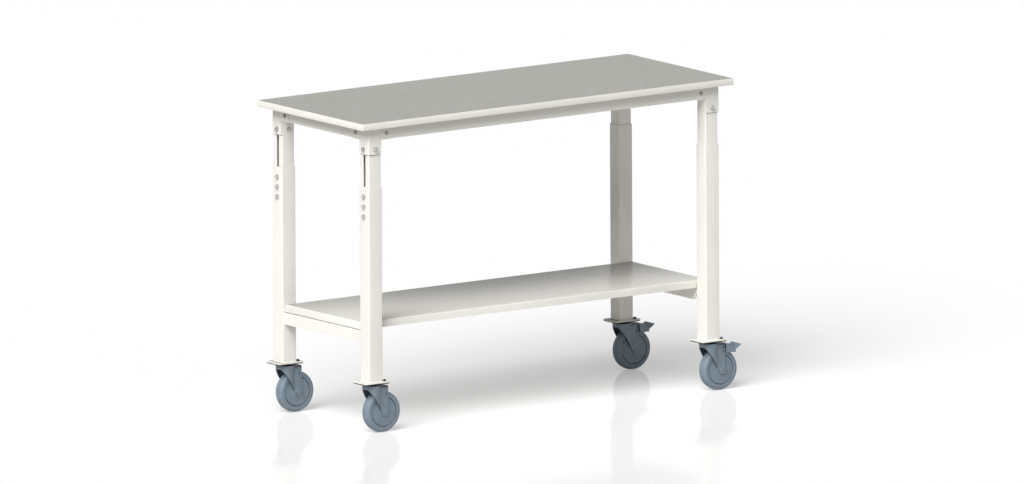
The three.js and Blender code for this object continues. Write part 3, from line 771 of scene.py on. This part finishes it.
def channel_outline(depth, height, sheet, bend):
    """A folded channel: its web at 0, its two flanges towards -a, from b = 0 up to the height."""
    inner = bend - sheet
    low = (-bend, bend)
    high = (-bend, height - bend)
    outside = arc(low, bend, -90, 0, BEND_STEPS) + arc(high, bend, 0, 90, BEND_STEPS)
    inside = arc(high, inner, 90, 0, BEND_STEPS) + arc(low, inner, 0, -90, BEND_STEPS)
    return [(-depth, 0), *outside, (-depth, height), (-depth, height - sheet), *inside, (-depth, sheet)]


def add_rails():
    outline = channel_outline(RAIL_FLANGE, FRAME_TOP - RAIL_LOW, RAIL_SHEET, RAIL_BEND)
    for node, (axis, side) in RAILS.items():
        low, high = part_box(node)
        across = 1 if axis == "x" else 0
        along = 1 - across
        face = high[across] if side > 0 else low[across]
        section = [(face + side * a, RAIL_LOW + b) for a, b in outline]
        rail = bar(section, axis, low[along], high[along])
        add_piece(node, rail, "upper_frame", "frame_paint", SHEET_EDGE)


def bracket_mesh():
    """A bent flag-shaped angle, skinned upwards from one L-shaped section to the next."""
    outside = BRACKET_OUTSIDE
    inside = outside - BRACKET_SHEET
    stem = -INNER_HALF
    fillet_end = stem - BRACKET_FILLET
    arm_end = outside - 2 * half_size("corner_bracket_front_left").x
    centre = (outside - BRACKET_BEND, outside - BRACKET_BEND)
    outer_bend = arc(centre, BRACKET_BEND, 0, 90, CORNER_STEPS)
    inner_bend = arc(centre, BRACKET_BEND - BRACKET_SHEET, 90, 0, CORNER_STEPS)

    def section(arm, fillet, z):
        first = [(outside, arm), (outside, fillet), (outside, stem)]
        second = [(inside, stem), (inside, fillet), (inside, arm)]
        over = [(b, a) for a, b in reversed(first)]
        back = [(b, a) for a, b in reversed(second)]
        return [(x, y, z) for x, y in (*first, *outer_bend, *over, *back, *inner_bend, *second)]

    loops = [section(stem, stem, BRACKET_LOW)]
    for step in range(CORNER_STEPS + 1):
        angle = step / CORNER_STEPS * math.pi / 2
        reach = stem - BRACKET_FILLET * (1 - math.cos(angle))
        loops.append(section(reach, reach, RAIL_LOW - BRACKET_FILLET * (1 - math.sin(angle))))
    loops.append(section(arm_end, fillet_end, RAIL_LOW))
    loops.append(section(arm_end, fillet_end, FRAME_TOP))
    return loft(loops)


# Fasteners

def hexagon(radius):
    """Points round a hexagon, a few on each side."""
    angles = [side * math.pi / 3 for side in range(7)]
    corners = [Vector((math.cos(angle), math.sin(angle))) * radius for angle in angles]
    points = []
    for start, end in zip(corners, corners[1:]):
        points += [start.lerp(end, step / HEXAGON_POINTS) for step in range(HEXAGON_POINTS)]
    return points


def hex_body(bm, radius, low, high, place, both_ends=False):
    """A hexagon whose corners are turned down at the top, or at both ends."""
    points = hexagon(radius)
    flat = radius * math.cos(math.pi / 6) * HEX_FLAT
    slope = math.tan(math.pi / 6)
    top = [(point.x, point.y, high - max(0.0, point.length - flat) * slope) for point in points]
    rim = [(*point.normalized() * flat, high) for point in points]
    if both_ends:
        below = [[(x, y, low + high - z) for x, y, z in loop] for loop in (rim, top)]
    else:
        below = [[(point.x, point.y, low) for point in points]]
    loft([*below, top, rim], place, bm=bm)


def shank(bm, radius, low, high, place):
    """A plain shank whose lower end carries thread grooves."""
    pitch = radius * THREAD_PITCH
    height = low + pitch
    profile = [(radius * THREAD_TIP, low)]
    while height + pitch < min(high, low + THREAD_TURNS * pitch):
        profile += [(radius, height), (radius * THREAD_ROOT, height + pitch / 2)]
        height += pitch
    profile += [(radius, height), (radius, high)]
    turned(profile, place, SHANK_SIDES, bm=bm)


def flange_bolt(bm, size, length, place):
    """A flanged hexagon bolt: seat at the local origin, head along +Z, shank along -Z."""
    flange = size["flange"]
    head = size["hex"]
    low = SEAT_GAP
    high = low + size["rise"]
    rim = low + size["rise"] * RIM_RISE
    profile = [
        (flange * FLANGE_SEAT, low), (flange, low + SEAT_EDGE), (flange, rim),
        (flange * FLANGE_TOP, rim + RIM_EDGE), (head * CONE_TOP, high), (head * CONE_INSIDE, high),
    ]
    turned(profile, place, BOLT_SIDES, bm=bm)
    hex_body(bm, head, low + size["rise"] * HEX_ROOT_RISE, high + size["height"], place)
    shank(bm, size["shank"], -length, low + size["rise"] / 2, place)


def hex_nut(bm, size, place):
    """A nut on a seat at the local origin, facing +Z."""
    hex_body(bm, size["hex"], SEAT_GAP, SEAT_GAP + size["height"], place, both_ends=True)


def leg_bolts_mesh():
    """Two crossing bolts in a threaded block inside the leg."""
    side = LEG_BOLT_BLOCK
    bm = block(side, side, BLOCK_CORNER, LEG_BOLT_HEIGHT - side / 2, LEG_BOLT_HEIGHT + side / 2)
    tip = INNER_HALF + SEAT_GAP + LEG_BOLT["height"] + TIP_OVERRUN
    flange_bolt(bm, LEG_BOLT, BRACKET_OUTSIDE, at(BRACKET_OUTSIDE, 0, LEG_BOLT_HEIGHT, ALONG_X))
    flange_bolt(bm, LEG_BOLT, BRACKET_OUTSIDE + tip, at(0, BRACKET_OUTSIDE, LEG_BOLT_HEIGHT, ALONG_Y))
    hex_nut(bm, LEG_BOLT, at(0, -INNER_HALF, LEG_BOLT_HEIGHT, AGAINST_Y))
    return bm


def rail_bolt_mesh(axis):
    """A bolt along an axis through bracket and rail, with its nut inside the channel."""
    nut_seat = INNER_HALF - RAIL_SHEET
    length = BRACKET_OUTSIDE - nut_seat + SEAT_GAP + RAIL_BOLT["height"] + TIP_OVERRUN
    head = (BRACKET_OUTSIDE, -RAIL_BOLT_FROM_LEG)
    nut = (nut_seat, -RAIL_BOLT_FROM_LEG)
    outward, inward = ALONG_X, AGAINST_X
    if axis == "y":
        head = head[::-1]
        nut = nut[::-1]
        outward, inward = ALONG_Y, AGAINST_Y
    bm = bmesh.new()
    flange_bolt(bm, RAIL_BOLT, length, at(*head, RAIL_BOLT_HEIGHT, outward))
    hex_nut(bm, RAIL_BOLT, at(*nut, RAIL_BOLT_HEIGHT, inward))
    return bm


def clamp_screws_mesh():
    """A row of screws in a threaded strip inside the inner leg."""
    thickness, width = CLAMP_STRIP
    outside = INNER_BORE - SEAT_GAP
    low = CLAMP_HEIGHTS[-1] - CLAMP_STRIP_OVERRUN
    high = CLAMP_HEIGHTS[0] + CLAMP_STRIP_OVERRUN
    bm = block(thickness, width, BLOCK_CORNER, low, high, at(outside - thickness / 2, 0, 0))
    length = OUTER_HALF - outside + thickness + TIP_OVERRUN
    for height in CLAMP_HEIGHTS:
        flange_bolt(bm, LEG_BOLT, length, at(OUTER_HALF, 0, height, ALONG_X))
    return bm


# Legs

def tube_mesh(half, low, high):
    """A square tube with round corners and a broken edge at both rims."""
    outside = broken_edges(low, high, TUBE_RIM)
    inside = [(TUBE_WALL - inset, z) for inset, z in reversed(outside)]
    loops = []
    for inset, z in outside + inside:
        corner = max(TUBE_CORNER - inset, TUBE_INNER_CORNER)
        loops.append(rounded_loop(half - inset, half - inset, corner, z))
    return loft(loops, closed=True)


def inner_leg_mesh():
    """The inner tube with its slot, and a liner behind the slot."""
    slot_high = BRACKET_LOW + SLOT_WIDTH / 2
    slot_low = CLAMP_HEIGHTS[-1] - SLOT_BELOW_SCREWS
    outline = slot_outline(0, slot_low, slot_high, SLOT_WIDTH, SLOT_STEPS)
    slot = bar(outline, "x", INNER_BORE - TUBE_WALL, OUTER_HALF)
    bm = combined(tube_mesh(INNER_HALF, INNER_LOW, FRAME_TOP), "DIFFERENCE", slot)
    block(TUBE_WALL, 2 * SLOT_WIDTH, TUBE_WALL / 4, slot_low, slot_high, at(SLOT_LINER_X, 0, 0), bm)
    return bm


def outer_leg_mesh():
    """The outer tube on its foot plate, with the weld bead round the joint."""
    bm = tube_mesh(OUTER_HALF, FOOT_TOP - TUBE_RIM, OUTER_TOP)
    foot = []
    for inset, z in broken_edges(FOOT_LOW, FOOT_TOP, FOOT_EDGE):
        foot.append(rounded_loop(FOOT_HALF.x - inset, FOOT_HALF.y - inset, FOOT_CORNER, z))
    loft(foot, bm=bm)
    bead = []
    for out, up in WELD_BEAD:
        half = OUTER_HALF + out * WELD_SIZE
        corner = TUBE_CORNER + max(out, 0) * WELD_SIZE
        bead.append(rounded_loop(half, half, corner, FOOT_TOP + up * WELD_SIZE))
    loft(bead, closed=True, bm=bm)
    return bm


def add_legs():
    """The pieces at each leg, made in axes that point out of the table."""
    for corner, outward in CORNERS.items():
        place = floor_under("inner_leg_" + corner) @ Matrix.Diagonal((*outward, 1, 1))
        pieces = [
            ("corner_bracket_", bracket_mesh(), "upper_frame", "frame_paint", BRACKET_EDGE, None),
            ("inner_leg_", inner_leg_mesh(), "upper_frame", "frame_paint", 0, "inner_leg_paint"),
            ("leg_bolts_", leg_bolts_mesh(), "upper_frame", "fastener_zinc", 0, "leg_bolt_zinc_shaded"),
            ("long_rail_bolt_", rail_bolt_mesh("y"), "upper_frame", "fastener_zinc", 0, "rail_bolt_zinc_shaded"),
            ("end_rail_bolt_", rail_bolt_mesh("x"), "upper_frame", "fastener_zinc", 0, "rail_bolt_zinc_shaded"),
            ("outer_leg_", outer_leg_mesh(), "lower_frame", "frame_paint", 0, None),
            ("clamp_screws_", clamp_screws_mesh(), "lower_frame", "fastener_zinc", 0, None),
        ]
        for kind, bm, body, slot, edge, material in pieces:
            add_piece(kind + corner, placed(bm, place), body, slot, edge, material)


# Shelf

def add_shelf():
    low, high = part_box("lower_shelf")
    half = half_size("lower_shelf")
    centre = (-SHELF_BEND, high.z - SHELF_BEND)
    outside = arc(centre, SHELF_BEND, 90, 0, BEND_STEPS)
    inside = arc(centre, SHELF_BEND - SHELF_SHEET, 0, 90, BEND_STEPS)
    section = [*outside, (0, low.z), (-SHELF_SHEET, low.z), *inside]
    loops = [rounded_loop(half.x + x, half.y + x, SHELF_CORNER, z, SHELF_CORNER_STEPS) for x, z in section]
    bm = loft(loops, floor_under("lower_shelf"))
    hem_top = low.z + SHELF_SHEET
    for side in (-1, 1):
        edge = side * (half.y - SHELF_SHEET / 2)
        near, far = sorted((edge, edge - side * SHELF_HEM))
        hem = [(near, low.z), (far, low.z), (far, hem_top), (near, hem_top)]
        bar(hem, "x", low.x + SHELF_SHEET, high.x - SHELF_SHEET, bm)
    add_piece("lower_shelf", bm, "lower_frame", "frame_paint")


def add_shelf_rails():
    """Channels under the shelf whose inner flanges are cut back at both ends."""
    for node, inward in (("shelf_rail_left", 1), ("shelf_rail_right", -1)):
        low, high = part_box(node)
        middle = (low.x + high.x) / 2
        width = high.x - low.x
        outline = channel_outline(high.z - low.z, width, RAIL_SHEET, RAIL_BEND)
        channel = bar([(low.x + b, high.z + a) for a, b in outline], "y", low.y, high.y)
        under_web = high.z - RAIL_SHEET
        below = low.z - CUT_OVERRUN
        cutters = []
        for end, way in ((low.y, 1), (high.y, -1)):
            out = end - way * CUT_OVERRUN
            wedge = [(out, under_web), (end, under_web), (end + way * SHELF_RAIL_BEVEL, below), (out, below)]
            cutters.append(bar(wedge, "x", *sorted((middle, middle + inward * width))))
        bm = combined(channel, "DIFFERENCE", *cutters)
        add_piece(node, bm, "lower_frame", "frame_paint", SHEET_EDGE, "shelf_rail_paint")


# Casters, in axes with the kingpin at the origin and the wheel trailing towards +X

def mount_mesh():
    """Top plate, raceway, kingpin with head, and two studs with nuts."""
    low, high = MOUNT_PLATE
    half_x = FOOT_HALF.x - MOUNT_INSET
    half_y = FOOT_HALF.y - MOUNT_INSET
    levels = broken_edges(low, high, MOUNT_EDGE)
    bm = loft([rounded_loop(half_x - inset, half_y - inset, FOOT_CORNER, z) for inset, z in levels])
    groove = RACEWAY_GROOVE
    raceway = [
        *((RACEWAY_RADIUS - inset, RACEWAY_LOW + up) for inset, up in RACEWAY_ROUND),
        (RACEWAY_RADIUS, low - 2 * groove), (RACEWAY_RADIUS - groove, low - groove),
        (RACEWAY_RADIUS - groove, low + groove),
    ]
    turned(raceway, bm=bm)
    radius, head_low, head_high = KINGPIN_HEAD
    turned([(KINGPIN_RADIUS, head_low), (KINGPIN_RADIUS, low)], bm=bm)
    hex_body(bm, radius, head_low, head_high, Matrix(), both_ends=True)
    top = FOOT_TOP + SEAT_GAP + RAIL_BOLT["height"] + TIP_OVERRUN
    x, y = MOUNT_STUD
    for side in (-1, 1):
        shank(bm, RAIL_BOLT["shank"], -top, -low, at(x, side * y, 0, DOWN))
        hex_nut(bm, RAIL_BOLT, at(x, side * y, FOOT_TOP))
    return bm


def sideways(outline, half_width):
    """A side outline of (x, z) points pushed to both sides."""
    return bar(outline, "y", -half_width, half_width)


def hood_and_legs(radius, leg_half, tail, high):
    """A round hood about the kingpin joined with a straight block that runs to the tail."""
    low = FORK_FOOT / 2
    hood = turned([(radius, low), (radius, high)], sides=WHEEL_SIDES)
    legs = sideways([(0, low), (tail, low), (tail, high), (0, high)], leg_half)
    return combined(hood, "UNION", legs)


def fork_side():
    """Side view of the fork: a slanting cut from mouth to toe, and a sloping deck."""
    nose = -FORK_HOOD - CUT_OVERRUN
    return softened([
        (nose, CROWN_TOP, 0), (nose, CROWN_BOTTOM, 0), (-FORK_MOUTH, CROWN_BOTTOM, 0),
        (FORK_TOE, FORK_FOOT, FORK_FOOT_CORNER), (FORK_TAIL, FORK_FOOT, FORK_FOOT_CORNER),
        (FORK_TAIL, CROWN_TOP - FORK_TAIL_DROP, FORK_TAIL_CORNER), (FORK_DECK_X, CROWN_TOP, FORK_DECK_CORNER),
    ])


def fork_hollow():
    """The space under the crown and the deck, open at the tail."""
    far = FORK_TAIL + CUT_OVERRUN
    deck = CROWN_TOP - FORK_DECK
    under = [
        (-FORK_HOOD, 0), (far, 0), (far, deck - FORK_TAIL_DROP), (FORK_TAIL, deck - FORK_TAIL_DROP),
        (FORK_DECK_X, deck), (FORK_DECK_X, CROWN_BOTTOM), (-FORK_HOOD, CROWN_BOTTOM),
    ]
    space = hood_and_legs(FORK_HOOD - FORK_HOOD_WALL, FORK_INSIDE, far + CUT_OVERRUN, CROWN_TOP)
    return combined(space, "INTERSECT", sideways(under, FORK_HOOD))


def fork_slot():
    """The lock slot near the tail of each side."""
    width, height = FORK_SLOT
    high = CROWN_TOP - FORK_TAIL_DROP - FORK_SLOT_DROP
    outline = slot_outline(FORK_TAIL - FORK_SLOT_FROM_TAIL, high - height, high, width, FORK_SLOT_STEPS)
    return sideways(outline, FORK_HOOD)


def fork_mesh():
    """The swivelling housing: a round hood whose two legs run down to the axle."""
    whole = hood_and_legs(FORK_HOOD, FORK_OUTSIDE, FORK_TAIL + CUT_OVERRUN, CROWN_TOP + CUT_OVERRUN)
    shaped = combined(whole, "INTERSECT", sideways(fork_side(), FORK_HOOD + CUT_OVERRUN))
    bore = KINGPIN_RADIUS + SEAT_GAP
    pin_hole = turned([(bore, FORK_FOOT), (bore, MOUNT_PLATE[0])])
    bm = combined(shaped, "DIFFERENCE", fork_hollow(), pin_hole, fork_slot())
    everything = [*bm.verts, *bm.edges, *bm.faces]
    bmesh.ops.bisect_plane(bm, geom=everything, plane_co=(0, 0, FORK_DECK_LOW), plane_no=(0, 0, 1))
    return bm


def mark_painted_shade(piece, place):
    """Note on each face of a fork how deep its painted shade is: full in the hollow and on the deck under the
    foot plate, less on a slanting edge facing down, none outside.
    """
    local = place.inverted()
    depths = []
    for face in piece.data.polygons:
        centre = local @ face.center
        in_hood = math.hypot(centre.x, centre.y) < FORK_HOOD - FORK_HOOD_WALL + INSIDE_MARGIN
        between_legs = abs(centre.y) < FORK_INSIDE + INSIDE_MARGIN
        hollow = (in_hood or between_legs) and centre.z < CROWN_BOTTOM + INSIDE_MARGIN
        deck = centre.x > FORK_DECK_X - DECK_MARGIN and centre.z > FORK_DECK_LOW
        edge = face.normal.z < SLANTING_DOWN
        depths.append(1.0 if hollow or deck else EDGE_SHADE if edge else 0.0)
    piece.data.attributes.new(SHADE_ATTRIBUTE, "FLOAT", "FACE").data.foreach_set("value", depths)


def axle_mesh():
    """A pin across the fork with a low domed head at each end."""
    seat = FORK_OUTSIDE + SEAT_GAP
    profile = [(AXLE_RADIUS, 0), (AXLE_RADIUS, seat)]
    for step in range(CORNER_STEPS):
        angle = math.pi / 2 * step / CORNER_STEPS
        profile.append((AXLE_HEAD * math.cos(angle), seat + AXLE_HEAD_HEIGHT * math.sin(angle)))
    bm = bmesh.new()
    for turn in (AGAINST_Y, ALONG_Y):
        turned(profile, at(TRAIL, 0, WHEEL_RADIUS, turn), BOLT_SIDES, bm=bm)
    return bm


def wheel_ring(side, middle=()):
    """A ring about the axle: a profile of one side and its mirror image, with points between them."""
    profile = [(radius, -y) for radius, y in side]
    profile += middle
    profile += reversed(side)
    return turned(profile, at(TRAIL, 0, WHEEL_RADIUS, AGAINST_Y), WHEEL_SIDES, closed=True)


def hub_mesh():
    """Wheel centre: a boss round the axle, a flat web and the inner side of the groove at the tyre."""
    face = TYRE_WIDTH / 2 - HUB_RECESS
    boss = FORK_INSIDE - HUB_SIDE_GAP
    rim = HUB_RADIUS - SEAT_GAP
    return wheel_ring([
        (AXLE_RADIUS + SEAT_GAP, boss), (HUB_BOSS - HUB_BOSS_EDGE, boss), (HUB_BOSS, boss - HUB_BOSS_EDGE),
        (HUB_BOSS + HUB_BOSS_FOOT / 2, face + HUB_BOSS_FOOT_RISE), (HUB_BOSS + HUB_BOSS_FOOT, face),
        *((rim + out * HUB_GROOVE, face + up * HUB_GROOVE) for out, up in HUB_GROOVE_SIDE),
    ])


def tyre_mesh():
    """A tyre with round shoulders, a slightly crowned tread and a groove beside the hub."""
    half = TYRE_WIDTH / 2
    shoulder = WHEEL_RADIUS - TYRE_CROWN - TYRE_SHOULDER
    centre = (shoulder, half - TYRE_SHOULDER)
    side = [(HUB_RADIUS + out * HUB_GROOVE, half + up * HUB_GROOVE) for out, up in TYRE_GROOVE_SIDE]
    side.append((shoulder - TYRE_FLAT, half))
    side += arc(centre, TYRE_SHOULDER, 90, TYRE_TREAD_DEGREES, SHOULDER_STEPS)
    return wheel_ring(side, [(WHEEL_RADIUS, 0)])


def shoe_points():
    """The shoe follows the tyre when the pedal is pressed: at rest it is that curve turned back."""
    radius = WHEEL_RADIUS + PEDAL_SHOE_GAP
    back = Matrix.Rotation(PEDAL_TRAVEL, 2)
    first, last = PEDAL_SHOE_ANGLES
    points = []
    for step in range(SHOE_STEPS + 1):
        angle = first + (last - first) * step / SHOE_STEPS
        pressed = Vector((TRAIL + radius * math.sin(angle), WHEEL_RADIUS + radius * math.cos(angle)))
        points.append(tuple(PEDAL_PIVOT + back @ (pressed - PEDAL_PIVOT)))
    return points


def pedal_flaps(end_x, end_z):
    """A flap on each side hangs from the hood beside the tyre, down to the shoe's far end."""
    outline = softened([
        (PEDAL_FRONT, PEDAL_HOOD.y - PEDAL_FLAP_DROP, 0),
        (PEDAL_FRONT + PEDAL_FLAP_SLOPE, end_z, PEDAL_FLAP_CORNER),
        (end_x, end_z, 0), (end_x, end_z + PEDAL_SHEET, 0),
    ])
    width = PEDAL_HALF_WIDTH - PEDAL_FLAP_INSIDE
    middle = PEDAL_HALF_WIDTH - width / 2
    return [plate(outline, width, at(0, side * middle, 0, AGAINST_Y)) for side in (-1, 1)]


def pedal_body(shoe, crest):
    """Hood, shoe and sloping tread in one, over the full width."""
    slope = PEDAL_TREAD.y / PEDAL_TREAD.x
    shoe_end = shoe[-1][0]
    under = PEDAL_TIP.y - slope * (PEDAL_TIP.x - shoe_end) - PEDAL_SHEET
    outline = softened([
        (PEDAL_FRONT, shoe[0][1] + PEDAL_SHOE_LIP, 0), *((x, z, 0) for x, z in shoe),
        (shoe_end + PEDAL_SHOE_LIP, under, 0), (PEDAL_TIP.x, PEDAL_TIP.y - PEDAL_SHEET, PEDAL_TIP_CORNER),
        (*PEDAL_TIP, PEDAL_TIP_CORNER), (*crest, PEDAL_CREST_CORNER), (*PEDAL_HOOD, PEDAL_HOOD_CORNER),
        (PEDAL_FRONT, PEDAL_HOOD.y, 0),
    ])
    return plate(outline, 2 * PEDAL_HALF_WIDTH, AGAINST_Y)


def pedal_arm(shoe):
    """The arm from the hub between the fork's sides into the body."""
    at_hub, at_shoe = PEDAL_ARM_LIFT
    end = PEDAL_FRONT + PEDAL_SHEET
    top = PEDAL_PIVOT.y + PEDAL_HUB / 2
    outline = [
        (PEDAL_PIVOT.x, PEDAL_PIVOT.y - PEDAL_HUB + at_hub), (end, shoe[0][1] + at_shoe),
        (end, top), (PEDAL_PIVOT.x, top),
    ]
    return plate(outline, 2 * PEDAL_ARM_HALF, AGAINST_Y)


def pedal_mesh():
    """The brake pedal: hub, pin and arm between the fork's sides, then the body with flaps and ribs."""
    shoe = shoe_points()
    crest = PEDAL_TIP - PEDAL_TREAD
    across = at(PEDAL_PIVOT.x, 0, PEDAL_PIVOT.y, AGAINST_Y)
    hub = turned([(PEDAL_HUB, -PEDAL_ARM_HALF), (PEDAL_HUB, PEDAL_ARM_HALF)], across, BOLT_SIDES)
    pin = turned([(PEDAL_PIN, -FORK_OUTSIDE), (PEDAL_PIN, FORK_OUTSIDE)], across, PIN_SIDES)
    bm = combined(pedal_body(shoe, crest), "UNION", pedal_arm(shoe), hub, pin, *pedal_flaps(*shoe[-1]))
    turn = Matrix.Rotation(-math.atan2(PEDAL_TREAD.y, PEDAL_TREAD.x), 4, "Y")
    rib_half = PEDAL_HALF_WIDTH - PEDAL_RIB_INSET
    rib_loops = [rounded_loop(half, rib_half, PEDAL_RIB_CORNER, z) for half, z in PEDAL_RIB]
    for rib in range(PEDAL_RIBS):
        along = PEDAL_TREAD.length * (rib + 2) / (PEDAL_RIBS + 2)
        loft(rib_loops, at(crest.x, 0, crest.y, turn) @ at(along, 0, 0), bm=bm)
    return bm


def add_casters():
    for corner in CORNERS:
        place = floor_under("inner_leg_" + corner)
        pieces = [
            ("caster_mount_", mount_mesh(), "lower_frame", "caster_steel"),
            ("wheel_axle_", axle_mesh(), "fork_" + corner, "caster_housing"),
            ("wheel_hub_", hub_mesh(), "wheel_" + corner, "caster_housing"),
            ("wheel_tyre_", tyre_mesh(), "wheel_" + corner, "tyre_rubber"),
        ]
        if corner in BRAKED:
            pieces.append(("brake_pedal_", pedal_mesh(), "pedal_" + corner, "caster_housing"))
        for kind, bm, body, slot in pieces:
            add_piece(kind + corner, placed(bm, place), body, slot)
        fork = placed(fork_mesh(), place)
        fork = add_piece("caster_fork_" + corner, fork, "fork_" + corner, "caster_housing", FORK_EDGE)
        mark_painted_shade(fork, place)


# Stage, light and camera

PIXELS_PER_METRE = 303.5
FRAME_WIDTH = 1024
CAMERA_RIGHT = Vector((0.8152, -0.5791, 0))
CAMERA_UP = Vector((0.0983, 0.1383, 0.9855))
CAMERA_ROLL = 0.0048
FRAME_CENTRE_RIGHT = 0.0522
FRAME_CENTRE_DOWN = 0.5038
CAMERA_DISTANCE = 8.0

AMBIENT_COLOUR = (1, 0.995, 0.985, 1)
AMBIENT_FRONT = 0.28
AMBIENT_BACK = 0.1
KEY_DIRECTION = Vector((-0.6, -0.37, 0.71))
KEY_STRENGTH = 3.5
KEY_SPREAD = math.radians(40)

FLOOR_HALF = 24
FLOOR_SEEN = 0.71
FLOOR_BOUNCE = 0.6
FLOOR_GLOW = 0.345
FLOOR_SHEEN = 0.18
FLOOR_SHEEN_TONE = 0.8
FLOOR_ROUGHNESS = 0.07


def add_camera():
    """A parallel-view camera with the worktop's middle at its place in the frame."""
    right = (CAMERA_RIGHT - CAMERA_ROLL * CAMERA_UP).normalized()
    back = CAMERA_RIGHT.cross(CAMERA_UP).normalized()
    up = back.cross(right)
    target = centre_of("worktop_laminate")
    target.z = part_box("worktop_laminate")[1].z
    target += FRAME_CENTRE_RIGHT * CAMERA_RIGHT - FRAME_CENTRE_DOWN * CAMERA_UP
    data = bpy.data.cameras.new("camera")
    data.type = "ORTHO"
    data.ortho_scale = FRAME_WIDTH / PIXELS_PER_METRE
    camera = linked("camera", data)
    turn = Matrix((right, up, back)).transposed().to_4x4()
    camera.matrix_world = Matrix.Translation(target + CAMERA_DISTANCE * back) @ turn
    bpy.context.scene.camera = camera


def add_world():
    """Soft light, stronger from the front, with plain white where the camera or a reflection looks."""
    world = bpy.data.worlds.new("studio")
    bpy.context.scene.world = world
    world.use_nodes = True
    made = Nodes(world.node_tree)
    direction = made.node("ShaderNodeTexCoord").outputs["Generated"]
    ambient = made.tree.nodes["Background"]
    made.feed(ambient.inputs["Color"], AMBIENT_COLOUR)
    strength = made.spread(made.part(direction, "Y"), -1, 1, AMBIENT_FRONT, AMBIENT_BACK)
    made.feed(ambient.inputs["Strength"], strength)
    white = made.shader("ShaderNodeBackground", WHITE, 1)
    chosen = made.shader("ShaderNodeMixShader", made.seen_rays(), ambient.outputs[0], white)
    made.feed(made.tree.nodes["World Output"].inputs["Surface"], chosen)


def floor_material():
    """Pale and matte with a faint sheen, lighter for the camera and reflections than as a source of light."""
    material = bpy.data.materials.new("floor")
    material.use_nodes = True
    made = Nodes(material.node_tree)
    made.tree.nodes.remove(made.tree.nodes["Principled BSDF"])
    seen = made.seen_rays()
    bounce = made.shader("ShaderNodeBsdfDiffuse", shade(WHITE, FLOOR_BOUNCE))
    view = made.shader("ShaderNodeBsdfDiffuse", shade(WHITE, FLOOR_SEEN))
    matte = made.shader("ShaderNodeMixShader", seen, bounce, view)
    glow = made.shader("ShaderNodeEmission", WHITE, made.maths("MULTIPLY", seen, FLOOR_GLOW))
    lit = made.shader("ShaderNodeAddShader", matte, glow)
    sheen = made.shader("ShaderNodeBsdfGlossy", shade(WHITE, FLOOR_SHEEN_TONE), FLOOR_ROUGHNESS)
    layered = made.shader("ShaderNodeMixShader", FLOOR_SHEEN, lit, sheen)
    made.feed(made.tree.nodes["Material Output"].inputs["Surface"], layered)
    return material


def add_floor():
    """A pale floor that keeps the shadow and a faint reflection of the table."""
    corners = [(x * FLOOR_HALF, y * FLOOR_HALF, 0) for x, y in ((-1, -1), (1, -1), (1, 1), (-1, 1))]
    mesh = bpy.data.meshes.new("floor")
    mesh.from_pydata(corners, [], [range(len(corners))])
    mesh.materials.append(floor_material())
    linked("floor", mesh)


def add_key_light():
    data = bpy.data.lights.new("key", "SUN")
    data.energy = KEY_STRENGTH
    data.angle = KEY_SPREAD
    light = linked("key", data)
    light.rotation_euler = KEY_DIRECTION.to_track_quat("Z", "Y").to_euler()


add_worktop()
add_rails()
add_legs()
add_shelf()
add_shelf_rails()
add_casters()
add_camera()
add_world()
add_floor()
add_key_light()
bpy.context.scene.view_settings.view_transform = "Standard"
